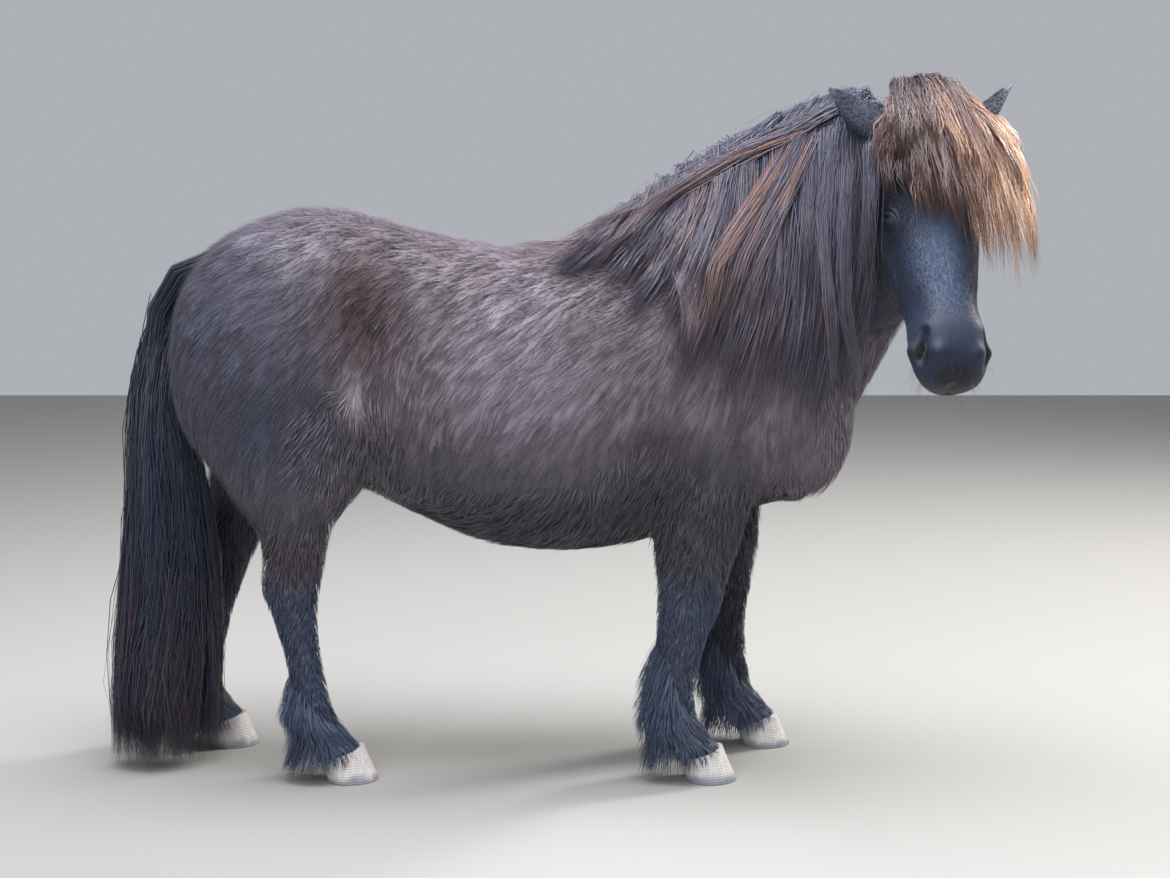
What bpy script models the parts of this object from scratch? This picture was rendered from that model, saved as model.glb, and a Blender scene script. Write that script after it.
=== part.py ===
"""A Shetland pony that stands square and turns its head to its right, life size, as a still model.

Metres, +X towards the breast, +Y to the pony's left, +Z up. The soles stand on Z = 0.
The flesh is laid up from lofts and rounded masses, melted into one body, and parted with thin cuts.
The solids give the outer surface of the winter coat. Mane, forelock, tail and feather are flat locks.
"""

import math
import random
from itertools import combinations

import bmesh
import bpy
import numpy as np
from mathutils import Matrix, Vector
from mathutils.bvhtree import BVHTree
from mathutils.kdtree import KDTree

# Where the middle of the model's box stands in the drawing frame, whose X = 0 lies under the back.
STAND = Vector((0.052, 0.071, 0.0))
GAP = 0.0003
TOUCH = 0.000002

# Torso sections along X: place, height of the back, height of the belly, half width, height of the
# widest level as a share of the depth, and squareness (2 is an ellipse).
TORSO = (
    (-0.738, 0.790, 0.650, 0.045, 0.50, 2.0),
    (-0.722, 0.850, 0.600, 0.095, 0.50, 2.1),
    (-0.680, 0.918, 0.555, 0.145, 0.50, 2.2),
    (-0.600, 0.972, 0.520, 0.185, 0.50, 2.2),
    (-0.500, 1.003, 0.515, 0.210, 0.50, 2.2),
    (-0.400, 1.000, 0.500, 0.215, 0.50, 2.1),
    (-0.300, 0.972, 0.455, 0.225, 0.46, 2.1),
    (-0.200, 0.946, 0.413, 0.244, 0.44, 2.1),
    (-0.100, 0.934, 0.393, 0.252, 0.43, 2.1),
    (0.000, 0.936, 0.391, 0.248, 0.43, 2.1),
    (0.100, 0.950, 0.408, 0.230, 0.43, 2.1),
    (0.200, 0.950, 0.440, 0.205, 0.42, 2.1),
    (0.300, 0.900, 0.465, 0.185, 0.42, 2.1),
    (0.380, 0.840, 0.490, 0.165, 0.45, 2.2),
    (0.440, 0.770, 0.525, 0.125, 0.48, 2.2),
    (0.474, 0.710, 0.570, 0.065, 0.50, 2.0),
)

# Neck sections: point on the crest, point on the underside, and half width.
NECK = (
    ((0.000, 0.000, 0.925), (0.330, 0.000, 0.530), 0.125),
    ((0.120, 0.000, 0.992), (0.440, 0.000, 0.590), 0.132),
    ((0.230, -0.003, 1.062), (0.500, -0.008, 0.680), 0.122),
    ((0.340, -0.025, 1.118), (0.548, -0.035, 0.770), 0.110),
    ((0.440, -0.062, 1.150), (0.590, -0.070, 0.850), 0.100),
    ((0.525, -0.110, 1.158), (0.612, -0.110, 0.915), 0.090),
    ((0.572, -0.165, 1.135), (0.616, -0.160, 0.950), 0.074),
)

# The head hangs from the poll. Turn to the right, droop of the face line and tilt, in degrees.
POLL = Vector((0.568, -0.150, 1.130))
HEAD_TURN, HEAD_DROOP, HEAD_TILT = 80.0, 53.0, -3.0

# Head sections in the head's own frame, x from the poll to the lips and z out of the forehead:
# place, face line, underline, half width at the brow, at the cheek and at the jaw.
HEAD = (
    (-0.045, -0.030, -0.125, 0.045, 0.050, 0.040),
    (0.000, 0.000, -0.175, 0.071, 0.072, 0.050),
    (0.050, 0.014, -0.208, 0.087, 0.085, 0.057),
    (0.105, 0.021, -0.222, 0.095, 0.092, 0.060),
    (0.165, 0.018, -0.214, 0.096, 0.088, 0.056),
    (0.225, 0.006, -0.186, 0.084, 0.077, 0.050),
    (0.285, -0.006, -0.158, 0.070, 0.068, 0.046),
    (0.345, -0.013, -0.142, 0.061, 0.063, 0.043),
    (0.395, -0.016, -0.138, 0.062, 0.066, 0.044),
    (0.432, -0.028, -0.134, 0.060, 0.063, 0.042),
    (0.457, -0.054, -0.122, 0.044, 0.049, 0.032),
    (0.466, -0.074, -0.108, 0.020, 0.026, 0.018),
)

EYE = Vector((0.1783, 0.0712, -0.0298))
EYE_RADIUS = 0.0185
EYE_LOOK = Vector((0.14, 0.86, 0.50))
LID_LINE = Vector((0.82, 0.0, 0.57))
LID_LENGTH, LID_HEIGHT = 0.0153, 0.0072

# Leg sections from the top down: height, half length fore and aft, half width.
FORE_LEG = (
    ("shoulder", 0.600, 0.110, 0.072),
    ("elbow", 0.500, 0.094, 0.066),
    ("forearm", 0.420, 0.079, 0.057),
    ("above_knee", 0.350, 0.062, 0.049),
    ("knee", 0.300, 0.058, 0.050),
    ("below_knee", 0.260, 0.049, 0.043),
    ("cannon", 0.190, 0.041, 0.037),
    ("low_cannon", 0.130, 0.042, 0.038),
    ("fetlock", 0.098, 0.049, 0.044),
    ("pastern", 0.072, 0.047, 0.042),
    ("coronet", 0.048, 0.047, 0.043),
    ("in_hoof", 0.015, 0.044, 0.041),
)
HIND_LEG = (
    ("hip", 0.640, 0.150, 0.080),
    ("thigh", 0.520, 0.112, 0.072),
    ("gaskin", 0.440, 0.070, 0.056),
    ("above_hock", 0.390, 0.057, 0.046),
    ("hock", 0.345, 0.056, 0.040),
    ("below_hock", 0.300, 0.044, 0.037),
    ("cannon", 0.220, 0.035, 0.031),
    ("low_cannon", 0.140, 0.036, 0.032),
    ("fetlock", 0.105, 0.043, 0.038),
    ("pastern", 0.075, 0.040, 0.036),
    ("coronet", 0.048, 0.045, 0.042),
    ("in_hoof", 0.015, 0.045, 0.042),
)

# Each leg: its side (1 is the pony's left), its rows, the cut to the torso, the cut below the knee
# or hock, and how far forward each of its sections stands.
LEG_Y = 0.120
LEGS = {
    "fore_right": {
        "side": -1, "rows": FORE_LEG, "torso_cut": 0.402, "knee_cut": 0.262,
        "forward": (0.205, 0.200, 0.194, 0.186, 0.180, 0.170, 0.158, 0.153, 0.155, 0.171, 0.197, 0.212),
    },
    "fore_left": {
        "side": 1, "rows": FORE_LEG, "torso_cut": 0.402, "knee_cut": 0.262,
        "forward": (0.215, 0.232, 0.248, 0.254, 0.254, 0.254, 0.262, 0.268, 0.272, 0.290, 0.314, 0.330),
    },
    "hind_right": {
        "side": -1, "rows": HIND_LEG, "torso_cut": 0.490, "knee_cut": 0.305,
        "forward": (-0.500, -0.520, -0.505, -0.503, -0.512, -0.507, -0.492, -0.478, -0.472, -0.455, -0.431, -0.416),
    },
    "hind_left": {
        "side": 1, "rows": HIND_LEG, "torso_cut": 0.490, "knee_cut": 0.305,
        "forward": (-0.520, -0.590, -0.640, -0.655, -0.676, -0.682, -0.698, -0.714, -0.717, -0.703, -0.681, -0.667),
    },
}
HOOF_HEIGHT, HOOF_SLOPE = 0.046, 16.0
SOLE_LENGTH, SOLE_WIDTH, HOOF_FLARE = 0.050, 0.046, 0.88

# Rounded masses of muscle, one for each side: middle, radii.
MASSES = {
    "haunch": ((-0.545, 0.112, 0.730), (0.175, 0.108, 0.240)),
    "thigh": ((-0.500, 0.128, 0.590), (0.130, 0.088, 0.160)),
    "shoulder": ((0.265, 0.108, 0.700), (0.155, 0.092, 0.210)),
    "breast": ((0.370, 0.062, 0.610), (0.098, 0.090, 0.130)),
}

# Dips and swellings pressed into the flesh: middle, reach, and depth (a swelling is negative).
BODY_STROKES = {
    "flank hollow": ((-0.370, 0.225, 0.800), 0.075, 0.016),
    "stifle fold": ((-0.405, 0.200, 0.560), 0.050, 0.014),
    "loin": ((-0.330, 0.000, 0.985), 0.070, 0.004),
    "behind the elbow": ((0.095, 0.190, 0.480), 0.050, 0.010),
    "breast cleft": ((0.462, 0.000, 0.590), 0.030, 0.014),
    "buttock cleft": ((-0.735, 0.000, 0.690), 0.045, 0.020),
}
HEAD_STROKES = {
    "lids": ((0.180, 0.085, -0.022), 0.0200, -0.0080),
    "hollow above the eye": ((0.122, 0.078, 0.004), 0.018, 0.0060),
    "brow": ((0.158, 0.080, 0.002), 0.014, -0.0050),
    "under the eye": ((0.210, 0.086, -0.048), 0.015, 0.0045),
    "cheek muscle": ((0.100, 0.088, -0.135), 0.055, -0.0080),
    "front of the cheek": ((0.230, 0.080, -0.120), 0.030, 0.0110),
    "side of the nose": ((0.330, 0.060, -0.040), 0.030, 0.0040),
    "outer nostril rim": ((0.410, 0.064, -0.066), 0.013, -0.0060),
    "inner nostril rim": ((0.428, 0.030, -0.030), 0.012, -0.0050),
    "false nostril": ((0.392, 0.052, -0.030), 0.014, -0.0040),
    "upper lip": ((0.448, 0.022, -0.086), 0.020, -0.0050),
    "lip groove": ((0.464, 0.000, -0.082), 0.008, 0.0030),
    "chin": ((0.408, 0.000, -0.140), 0.022, -0.0080),
    "chin groove": ((0.350, 0.000, -0.146), 0.022, 0.0080),
    "between the jaws": ((0.160, 0.000, -0.214), 0.030, 0.0120),
}
# Lines pressed into the head: points, reach, depth.
HEAD_LINES = (
    (((0.185, 0.094, -0.066), (0.230, 0.080, -0.070), (0.280, 0.068, -0.072)), 0.010, -0.0050),
    (((0.395, 0.052, -0.036), (0.414, 0.057, -0.046), (0.430, 0.054, -0.060), (0.436, 0.044, -0.068)), 0.0075, 0.0150),
    (((0.350, 0.062, -0.108), (0.400, 0.064, -0.108), (0.436, 0.050, -0.106), (0.460, 0.000, -0.104)), 0.0055, 0.0100),
)

# Mane: where a guide leaves the crest, and where its end lies on the right side.
MANE = (
    (0.050, (-0.055, 0.888)),
    (0.130, (-0.030, 0.893)),
    (0.200, (0.050, 0.872)),
    (0.250, (0.110, 0.822)),
    (0.290, (0.165, 0.725)),
    (0.340, (0.225, 0.665)),
    (0.400, (0.300, 0.635)),
    (0.450, (0.370, 0.610)),
    (0.480, (0.412, 0.625)),
    (0.500, (0.430, 0.680)),
)
# Layers of the mane from the flesh out: number of locks, place across the crest, rise above it,
# lift off the flesh, length as a share.
MANE_LAYERS = (
    (10, -0.034, 0.010, 0.015, 1.00),
    (9, -0.008, 0.028, 0.026, 0.90),
    (7, 0.018, 0.044, 0.037, 0.74),
)
MANE_WIDTH, MANE_THICKNESS = 0.048, 0.007
FAR_LOCKS, FAR_LENGTH = 6, 0.150

# Forelock in the head's frame: where a guide leaves the poll, and where its end hangs.
FORELOCK = (
    (-0.034, (0.105, -0.104, -0.004)),
    (-0.026, (0.200, -0.072, 0.026)),
    (-0.018, (0.246, -0.056, 0.030)),
    (-0.006, (0.270, -0.034, 0.035)),
    (0.004, (0.308, -0.006, 0.038)),
    (0.014, (0.326, 0.026, 0.034)),
    (0.024, (0.336, 0.056, 0.026)),
    (0.034, (0.330, 0.086, 0.012)),
    (0.042, (0.300, 0.116, 0.002)),
    (0.048, (0.262, 0.140, -0.004)),
    (0.050, (0.215, 0.152, -0.006)),
)
# Layers of the forelock: number of locks, place behind the poll, rise, lift, length as a share.
FORELOCK_LAYERS = ((9, 0.016, 0.022, 0.002, 1.00), (7, -0.010, 0.038, 0.014, 0.90), (5, -0.034, 0.054, 0.026, 0.66))
FORELOCK_WIDTH, FORELOCK_THICKNESS = 0.031, 0.007

# Tail from the top down: height, middle, half length and half width.
TAIL = (
    (0.925, -0.715, -0.004, 0.018, 0.022),
    (0.860, -0.750, -0.010, 0.032, 0.036),
    (0.750, -0.764, -0.018, 0.040, 0.048),
    (0.600, -0.756, -0.025, 0.056, 0.056),
    (0.450, -0.742, -0.030, 0.076, 0.062),
    (0.300, -0.742, -0.030, 0.088, 0.064),
    (0.150, -0.751, -0.030, 0.088, 0.064),
    (0.000, -0.758, -0.030, 0.088, 0.062),
)
DOCK = ((0.690, 0.895), (0.728, 0.872), (0.750, 0.820), (0.758, 0.740), (0.758, 0.660))
# Layers of the tail: number of locks, share of the half length and width, highest and lowest root.
TAIL_LAYERS = ((4, 0.26, 0.76, 0.69), (8, 0.64, 0.84, 0.76), (13, 1.00, 0.885, 0.83))
TAIL_WIDTH, TAIL_THICKNESS = 0.037, 0.010
TAIL_TIP = 0.014

# Feather behind each fetlock, from one side round the back to the other.
FEATHER = 5
FEATHER_WIDTH, FEATHER_THICKNESS = 0.030, 0.007
# Seeds of the small differences between locks.
SEEDS = {"forelock": 7, "mane": 10, "tail": 7, "feather": 7}

COLOURS = {
    "coat": ((0.045, 0.036, 0.034), 0.75),
    "muzzle": ((0.030, 0.030, 0.034), 0.55),
    "mane": ((0.035, 0.026, 0.024), 0.55),
    "tail": ((0.016, 0.016, 0.020), 0.55),
    "hoof": ((0.520, 0.450, 0.380), 0.60),
    "eye": ((0.012, 0.007, 0.005), 0.10),
}
MODEL, CUTTERS = "shetland_pony", "cutters"


def clear_scene():
    for obj in list(bpy.data.objects):
        bpy.data.objects.remove(obj)
    for name in (MODEL, CUTTERS):
        collection = bpy.data.collections.new(name)
        bpy.context.scene.collection.children.link(collection)


def new_object(name, mesh, collection=MODEL):
    obj = bpy.data.objects.new(name, mesh)
    bpy.data.collections[collection].objects.link(obj)
    return obj


def remove(obj):
    mesh = obj.data
    bpy.data.objects.remove(obj)
    bpy.data.meshes.remove(mesh)


def evaluated(obj):
    """Puts the object's modifiers into its mesh."""
    graph = bpy.context.evaluated_depsgraph_get()
    mesh = bpy.data.meshes.new_from_object(obj.evaluated_get(graph))
    old = obj.data
    obj.modifiers.clear()
    obj.data = mesh
    bpy.data.meshes.remove(old)
    return obj


def paint(obj, slot):
    colour, roughness = COLOURS[slot]
    material = bpy.data.materials.get(slot) or bpy.data.materials.new(slot)
    material.use_nodes = True
    shader = material.node_tree.nodes["Principled BSDF"]
    shader.inputs["Base Color"].default_value = (*colour, 1.0)
    shader.inputs["Roughness"].default_value = roughness
    obj.data.materials.clear()
    obj.data.materials.append(material)
    obj.data.shade_smooth()
    obj.data.set_sharp_from_angle(angle=math.radians(45))


def curve_through(rows, steps):
    """More rows between the given ones, on a smooth curve through them."""
    rows = np.array(rows, float)
    padded = np.vstack([2 * rows[0] - rows[1], rows, 2 * rows[-1] - rows[-2]])
    found = []
    for i in range(len(rows) - 1):
        a, b, c, d = padded[i:i + 4]
        for k in range(steps):
            t = k / steps
            found.append(
                0.5 * (2 * b + (c - a) * t + (2 * a - 5 * b + 4 * c - d) * t**2 + (3 * b - a - 3 * c + d) * t**3)
            )
    return np.array(found + [rows[-1]])


def loft(bm, rings):
    """A closed skin through rings of points, each with the same number of points."""
    made = [[bm.verts.new(p) for p in ring] for ring in rings]
    count = len(rings[0])
    for low, high in zip(made, made[1:]):
        for i in range(count):
            j = (i + 1) % count
            bm.faces.new((low[i], low[j], high[j], high[i]))
    bm.faces.new(made[0][::-1])
    bm.faces.new(made[-1])


def oval(count, power=2.0):
    """Points round a unit oval: across, and up."""
    turn = 2 * np.pi * np.arange(count) / count
    c, s = np.cos(turn), np.sin(turn)
    return np.sign(c) * np.abs(c) ** (2 / power), np.sign(s) * np.abs(s) ** (2 / power)


def torso_rings(count=40, steps=4):
    for x, top, bottom, half, level, power in curve_through(TORSO, steps):
        across, up = oval(count, power)
        middle = bottom + level * (top - bottom)
        height = np.where(up > 0, (top - middle) * up, (middle - bottom) * up)
        yield [(x, half * a, middle + h) for a, h in zip(across, height)]


def neck_rings(count=36, steps=5):
    rows = curve_through([(*crest, *under, half) for crest, under, half in NECK], steps)
    middles = [(Vector(r[:3]) + Vector(r[3:6])) / 2 for r in rows]
    for i, row in enumerate(rows):
        crest, under, half = Vector(row[:3]), Vector(row[3:6]), row[6]
        along = middles[min(i + 1, len(rows) - 1)] - middles[max(i - 1, 0)]
        side = (crest - under).cross(along).normalized()
        across, up = oval(count, 2.15)
        # Narrower towards the crest than at the windpipe.
        thin = 1 - 0.28 * np.clip(up, 0, 1) ** 1.5
        yield [middles[i] + side * (half * a * w) + (crest - under) / 2 * u for a, u, w in zip(across, up, thin)]


def head_frame():
    turn = Matrix.Rotation(math.radians(-HEAD_TURN), 4, "Z")
    tilt = Matrix.Rotation(math.radians(HEAD_TILT), 4, "X")
    droop = Matrix.Rotation(math.radians(HEAD_DROOP), 4, "Y")
    return Matrix.Translation(POLL) @ turn @ tilt @ droop


def head_rings(count=40, steps=5):
    frame = head_frame()
    turn = 2 * np.pi * np.arange(count) / count
    down = (1 - np.sin(turn)) / 2
    for x, top, bottom, brow, cheek, jaw in curve_through(HEAD, steps):
        width = np.interp(down, (0.15, 0.5, 0.9), (brow, cheek, jaw))
        across = np.sign(np.cos(turn)) * np.abs(np.cos(turn)) ** 0.64 * width
        yield [frame @ Vector((x, a, top + (bottom - top) * s)) for a, s in zip(across, down)]


def leg_rings(leg, count=24, steps=4):
    rows = [
        (forward, leg["side"] * LEG_Y, height, length, width)
        for forward, (_, height, length, width) in zip(leg["forward"], leg["rows"])
    ]
    across, along = oval(count, 2.1)
    for x, y, z, length, width in curve_through(rows, steps):
        yield [(x + length * f, y + width * a, z) for a, f in zip(across, along)]


def flesh(name, voxel, rounds, parts):
    """One closed body melted from the lofts and masses in parts."""
    bm = bmesh.new()
    for rings in parts:
        loft(bm, [list(ring) for ring in rings])
    if len(parts) > 2:
        for middle, radii in MASSES.values():
            for side in (-1, 1):
                place = Matrix.Translation((middle[0], side * middle[1], middle[2]))
                scale = Matrix.Diagonal((*radii, 1.0))
                bmesh.ops.create_uvsphere(bm, u_segments=32, v_segments=20, radius=1.0, matrix=place @ scale)
    bmesh.ops.recalc_face_normals(bm, faces=bm.faces)
    mesh = bpy.data.meshes.new(name)
    bm.to_mesh(mesh)
    bm.free()
    obj = new_object(name, mesh)
    melt = obj.modifiers.new("melt", "REMESH")
    melt.mode, melt.voxel_size = "VOXEL", voxel
    soften = obj.modifiers.new("soften", "SMOOTH")
    soften.factor, soften.iterations = 0.5, rounds
    return evaluated(obj)


def points_of(mesh):
    found = np.empty(len(mesh.vertices) * 3, np.float32)
    mesh.vertices.foreach_get("co", found)
    return found.reshape(-1, 3).astype(float)


def normals_of(mesh):
    found = np.empty(len(mesh.vertices) * 3, np.float32)
    mesh.vertex_normals.foreach_get("vector", found)
    return found.reshape(-1, 3).astype(float)


def reach_of_line(points, line):
    """Distance of each point from a line through several points."""
    best = np.full(len(points), 9.0)
    for a, b in zip(np.array(line[:-1]), np.array(line[1:])):
        share = np.clip((points - a) @ (b - a) / ((b - a) @ (b - a)), 0, 1)
        best = np.minimum(best, np.linalg.norm(points - a - share[:, None] * (b - a), axis=1))
    return best


def stroke(obj, strokes, frame=None, lines=()):
    """Presses each named dip or swelling into the surface, alike on both sides."""
    mesh = obj.data
    points, normals = points_of(mesh), normals_of(mesh)
    back = np.array(frame.inverted() if frame else Matrix.Identity(4))
    local = points @ back[:3, :3].T + back[:3, 3]
    depth = np.zeros(len(points))
    for middle, reach, press in strokes.values():
        for side in (-1, 1) if middle[1] else (1,):
            far = np.linalg.norm(local - np.array(middle) * (1, side, 1), axis=1)
            depth += press * np.exp(-((far / reach) ** 2))
    for line, reach, press in lines:
        for side in (-1, 1):
            far = reach_of_line(local, np.array(line) * (1, side, 1))
            fade = np.clip(0.5 + 0.5 * local[:, 1] * side / 0.004, 0, 1)
            depth += press * np.exp(-((far / reach) ** 2)) * fade
    points -= normals * depth[:, None]
    mesh.vertices.foreach_set("co", points.astype(np.float32).ravel())
    mesh.update()


def thinned(obj, triangles):
    mesh = obj.data
    mesh.calc_loop_triangles()
    thin = obj.modifiers.new("thin", "DECIMATE")
    thin.ratio = min(1.0, triangles / len(mesh.loop_triangles))
    thin.use_collapse_triangulate = True
    return evaluated(obj)


def copy_of(obj, name, collection=MODEL):
    return new_object(name, obj.data.copy(), collection)


def boolean(obj, operation, other, solver="MANIFOLD"):
    """Cuts or keeps with a closed mesh, or joins a collection of them."""
    modifier = obj.modifiers.new("boolean", "BOOLEAN")
    modifier.operation, modifier.solver = operation, solver
    if isinstance(other, bpy.types.Collection):
        modifier.operand_type, modifier.collection = "COLLECTION", other
    else:
        modifier.object = other
    return evaluated(obj)


def block(name, low, high, frame=None):
    """A cutter box, which isn't a part of the model."""
    bm = bmesh.new()
    size = Vector(high) - Vector(low)
    place = Matrix.Translation((Vector(low) + Vector(high)) / 2) @ Matrix.Diagonal((*size, 1.0))
    bmesh.ops.create_cube(bm, size=1.0, matrix=(frame or Matrix.Identity(4)) @ place)
    mesh = bpy.data.meshes.new(name)
    bm.to_mesh(mesh)
    bm.free()
    obj = new_object(name, mesh, CUTTERS)
    obj.hide_render, obj.display_type = True, "WIRE"
    return obj


def slab(name, point, normal, size=3.0):
    """A cutter block that fills the space ahead of a plane."""
    turn = Vector(normal).to_track_quat("Z", "Y").to_matrix().to_4x4()
    frame = Matrix.Translation(Vector(point)) @ turn
    return block(name, (-size, -size, 0.0), (size, size, size), frame)


def draw_apart(bm):
    """Moves corners that lie in one place a hair towards their neighbours, each into its own sheet."""
    for _ in range(4):
        tree = KDTree(len(bm.verts))
        for i, vert in enumerate(bm.verts):
            tree.insert(vert.co, i)
        tree.balance()
        moves = []
        for vert in bm.verts:
            if len(tree.find_range(vert.co, TOUCH)) > 1:
                around = [edge.other_vert(vert).co for edge in vert.link_edges]
                way = sum(around, Vector()) / len(around) - vert.co
                moves.append((vert, way * min(0.3, GAP / 4 / max(way.length, GAP))))
        for vert, move in moves:
            vert.co += move


def keep_largest(obj):
    """Keeps the largest closed surface of the mesh."""
    bm = bmesh.new()
    bm.from_mesh(obj.data)
    left, islands = set(bm.verts), []
    while left:
        queue = [left.pop()]
        island = set(queue)
        while queue:
            for edge in queue.pop().link_edges:
                for vert in edge.verts:
                    if vert in left:
                        left.discard(vert)
                        island.add(vert)
                        queue.append(vert)
        islands.append(island)
    islands.sort(key=len, reverse=True)
    for island in islands[1:]:
        bmesh.ops.delete(bm, geom=list(island), context="VERTS")
    bm.to_mesh(obj.data)
    bm.free()
    obj.data.update()
    return obj


def turn_diagonals(bm):
    """Turns the diagonal of two level triangles where it runs along an edge of another sheet."""
    bm.normal_update()
    for edge in [edge for edge in bm.edges if len(edge.link_faces) > 2]:
        pairs = sorted(combinations(edge.link_faces, 2), key=lambda pair: -pair[0].normal.dot(pair[1].normal))
        for one, two in pairs:
            a, b = (next(v for v in face.verts if v not in edge.verts) for face in (one, two))
            if bm.edges.get((a, b)) is None:
                corners = list(one.verts)
                at = corners.index(a)
                p, q = corners[at - 2], corners[at - 1]
                bmesh.ops.delete(bm, geom=[one, two], context="FACES_ONLY")
                bm.faces.new((a, p, b))
                bm.faces.new((b, q, a))
                break


def settle(obj):
    """Makes a node's faces triangles and parts its sheets where they touch."""
    bm = bmesh.new()
    bm.from_mesh(obj.data)
    bmesh.ops.triangulate(bm, faces=bm.faces)
    turn_diagonals(bm)
    draw_apart(bm)
    bm.to_mesh(obj.data)
    bm.free()
    obj.data.update()


def swollen(obj, name, by=2 * GAP):
    """A copy of a node grown by a little, to cut its neighbours clear of it."""
    cutter = copy_of(obj, name, CUTTERS)
    cutter.hide_render, cutter.display_type = True, "WIRE"
    mesh = cutter.data
    points = points_of(mesh) + normals_of(mesh) * by
    mesh.vertices.foreach_set("co", points.astype(np.float32).ravel())
    mesh.update()
    return cutter


NECK_CUT = (Vector((0.250, 0.0, 0.835)), Vector((0.537, 0.0, 0.844)))
# Outline of the block that holds the head, seen from its side, and half of its width.
HEAD_CUT = ((-0.030, 0.160), (-0.030, 0.000), (0.058, -0.236), (0.600, -0.236), (0.600, 0.160))
HEAD_HALF = 0.106


def head_cutter(name, inset=0.0):
    """A cutter block that takes the head off behind the ears and the jaw."""
    frame, half = head_frame(), HEAD_HALF - inset
    bm = bmesh.new()
    outline = [(x + (1.2 * inset if x < 0.5 else 0.0), max(z, HEAD_CUT[2][1] + inset)) for x, z in HEAD_CUT]
    loft(bm, [[frame @ Vector((x, y, z)) for x, z in outline] for y in (-half, half)])
    bmesh.ops.recalc_face_normals(bm, faces=bm.faces)
    mesh = bpy.data.meshes.new(name)
    bm.to_mesh(mesh)
    bm.free()
    obj = new_object(name, mesh, CUTTERS)
    obj.hide_render, obj.display_type = True, "WIRE"
    return obj


def leg_cutter(name, leg, top):
    fore = leg["rows"] is FORE_LEG
    near, far = (0.100, 0.42) if fore else (-0.90, -0.375)
    inner, outer = (0.030, 0.34) if fore else (0.012, 0.34)
    sides = sorted((leg["side"] * inner, leg["side"] * outer))
    return block(name, (near, sides[0], -0.2), (far, sides[1], top))


def part_flesh(body, head):
    """Parts the flesh with thin cuts into torso, neck, head and the two lengths of each leg."""
    nodes = {}
    torso = copy_of(body, "torso")
    ahead = slab("ahead", *NECK_CUT)
    boolean(torso, "DIFFERENCE", ahead)
    for name, leg in LEGS.items():
        boolean(torso, "DIFFERENCE", leg_cutter("cut_" + name, leg, leg["torso_cut"]))
    nodes["torso"] = keep_largest(torso)

    neck = copy_of(body, "neck")
    point, normal = NECK_CUT
    boolean(neck, "INTERSECT", slab("ahead_clear", point + normal * GAP, normal))
    boolean(neck, "DIFFERENCE", head_cutter("cut_head"))
    nodes["neck"] = keep_largest(neck)

    head.name = "head"
    boolean(head, "INTERSECT", head_cutter("keep_head", GAP))
    nodes["head"] = keep_largest(head)

    for name, leg in LEGS.items():
        upper = copy_of(body, "leg_upper_" + name)
        boolean(upper, "INTERSECT", leg_cutter("keep_" + name, leg, leg["torso_cut"] - GAP))
        keep_largest(upper)
        lower = copy_of(upper, "leg_lower_" + name)
        boolean(upper, "DIFFERENCE", leg_cutter("below_" + name, leg, leg["knee_cut"]))
        boolean(lower, "INTERSECT", leg_cutter("under_" + name, leg, leg["knee_cut"] - GAP))
        boolean(lower, "DIFFERENCE", slab("cut_hoof_" + name, *hoof_plane(leg, GAP)))
        nodes[upper.name] = keep_largest(upper)
        nodes[lower.name] = keep_largest(lower)
    return nodes


def hoof_plane(leg, up=0.0):
    """The plane of the coronet, which drops towards the heel: a point on it and the way down."""
    slope = math.radians(HOOF_SLOPE)
    normal = Vector((math.sin(slope), 0.0, -math.cos(slope)))
    middle = Vector((leg["forward"][-2], leg["side"] * LEG_Y, HOOF_HEIGHT))
    return middle - normal * up, normal


def hoof(name, leg):
    """A horn shoe: wide at the sole, narrower at the coronet, higher at the toe, flat below."""
    bm = bmesh.new()
    across, along = oval(18, 2.2)
    heel = np.where(along < 0, 0.80, 1.0)
    levels = ((0.0, 1.0), (0.004, 1.015), (0.030, 0.93), (HOOF_HEIGHT + 0.020, HOOF_FLARE))
    middle, top = leg["forward"][-1], leg["forward"][-2]
    rings = []
    for z, size in levels:
        share = z / HOOF_HEIGHT
        x = middle + 0.004 + (top - middle) * share
        rings.append([
            (x + SOLE_LENGTH * size * f * h, leg["side"] * LEG_Y + SOLE_WIDTH * size * a, z)
            for a, f, h in zip(across, along, heel)
        ])
    loft(bm, rings)
    bmesh.ops.recalc_face_normals(bm, faces=bm.faces)
    mesh = bpy.data.meshes.new(name)
    bm.to_mesh(mesh)
    bm.free()
    obj = new_object(name, mesh)
    point, down = hoof_plane(leg)
    return boolean(obj, "DIFFERENCE", slab("top_" + name, point, -down))


def eye_frame(side):
    """Stands at the middle of the eyeball, Z out along its look and X along the line of the lids."""
    look = (EYE_LOOK * Vector((1, side, 1))).normalized()
    along = (LID_LINE - look * LID_LINE.dot(look)).normalized()
    turn = Matrix((along, look.cross(along), look)).transposed().to_4x4()
    return head_frame() @ Matrix.Translation(EYE * Vector((1, side, 1))) @ turn


def eyeball(name, side):
    bm = bmesh.new()
    bmesh.ops.create_uvsphere(bm, u_segments=12, v_segments=7, radius=EYE_RADIUS, matrix=eye_frame(side))
    mesh = bpy.data.meshes.new(name)
    bm.to_mesh(mesh)
    bm.free()
    return new_object(name, mesh)


def open_lids(head, side):
    """Cuts the almond between the lids."""
    across, up = oval(13, 1.6)
    bm = bmesh.new()
    rings = []
    for out, size in ((0.004, 0.8), (0.040, 1.5)):
        rings.append([
            eye_frame(side) @ Vector((LID_LENGTH * size * a, LID_HEIGHT * size * u, out))
            for a, u in zip(across, up)
        ])
    loft(bm, rings)
    bmesh.ops.recalc_face_normals(bm, faces=bm.faces)
    mesh = bpy.data.meshes.new("lids")
    bm.to_mesh(mesh)
    bm.free()
    cutter = new_object("lids", mesh, CUTTERS)
    cutter.hide_render, cutter.display_type = True, "WIRE"
    boolean(head, "DIFFERENCE", cutter)


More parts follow.
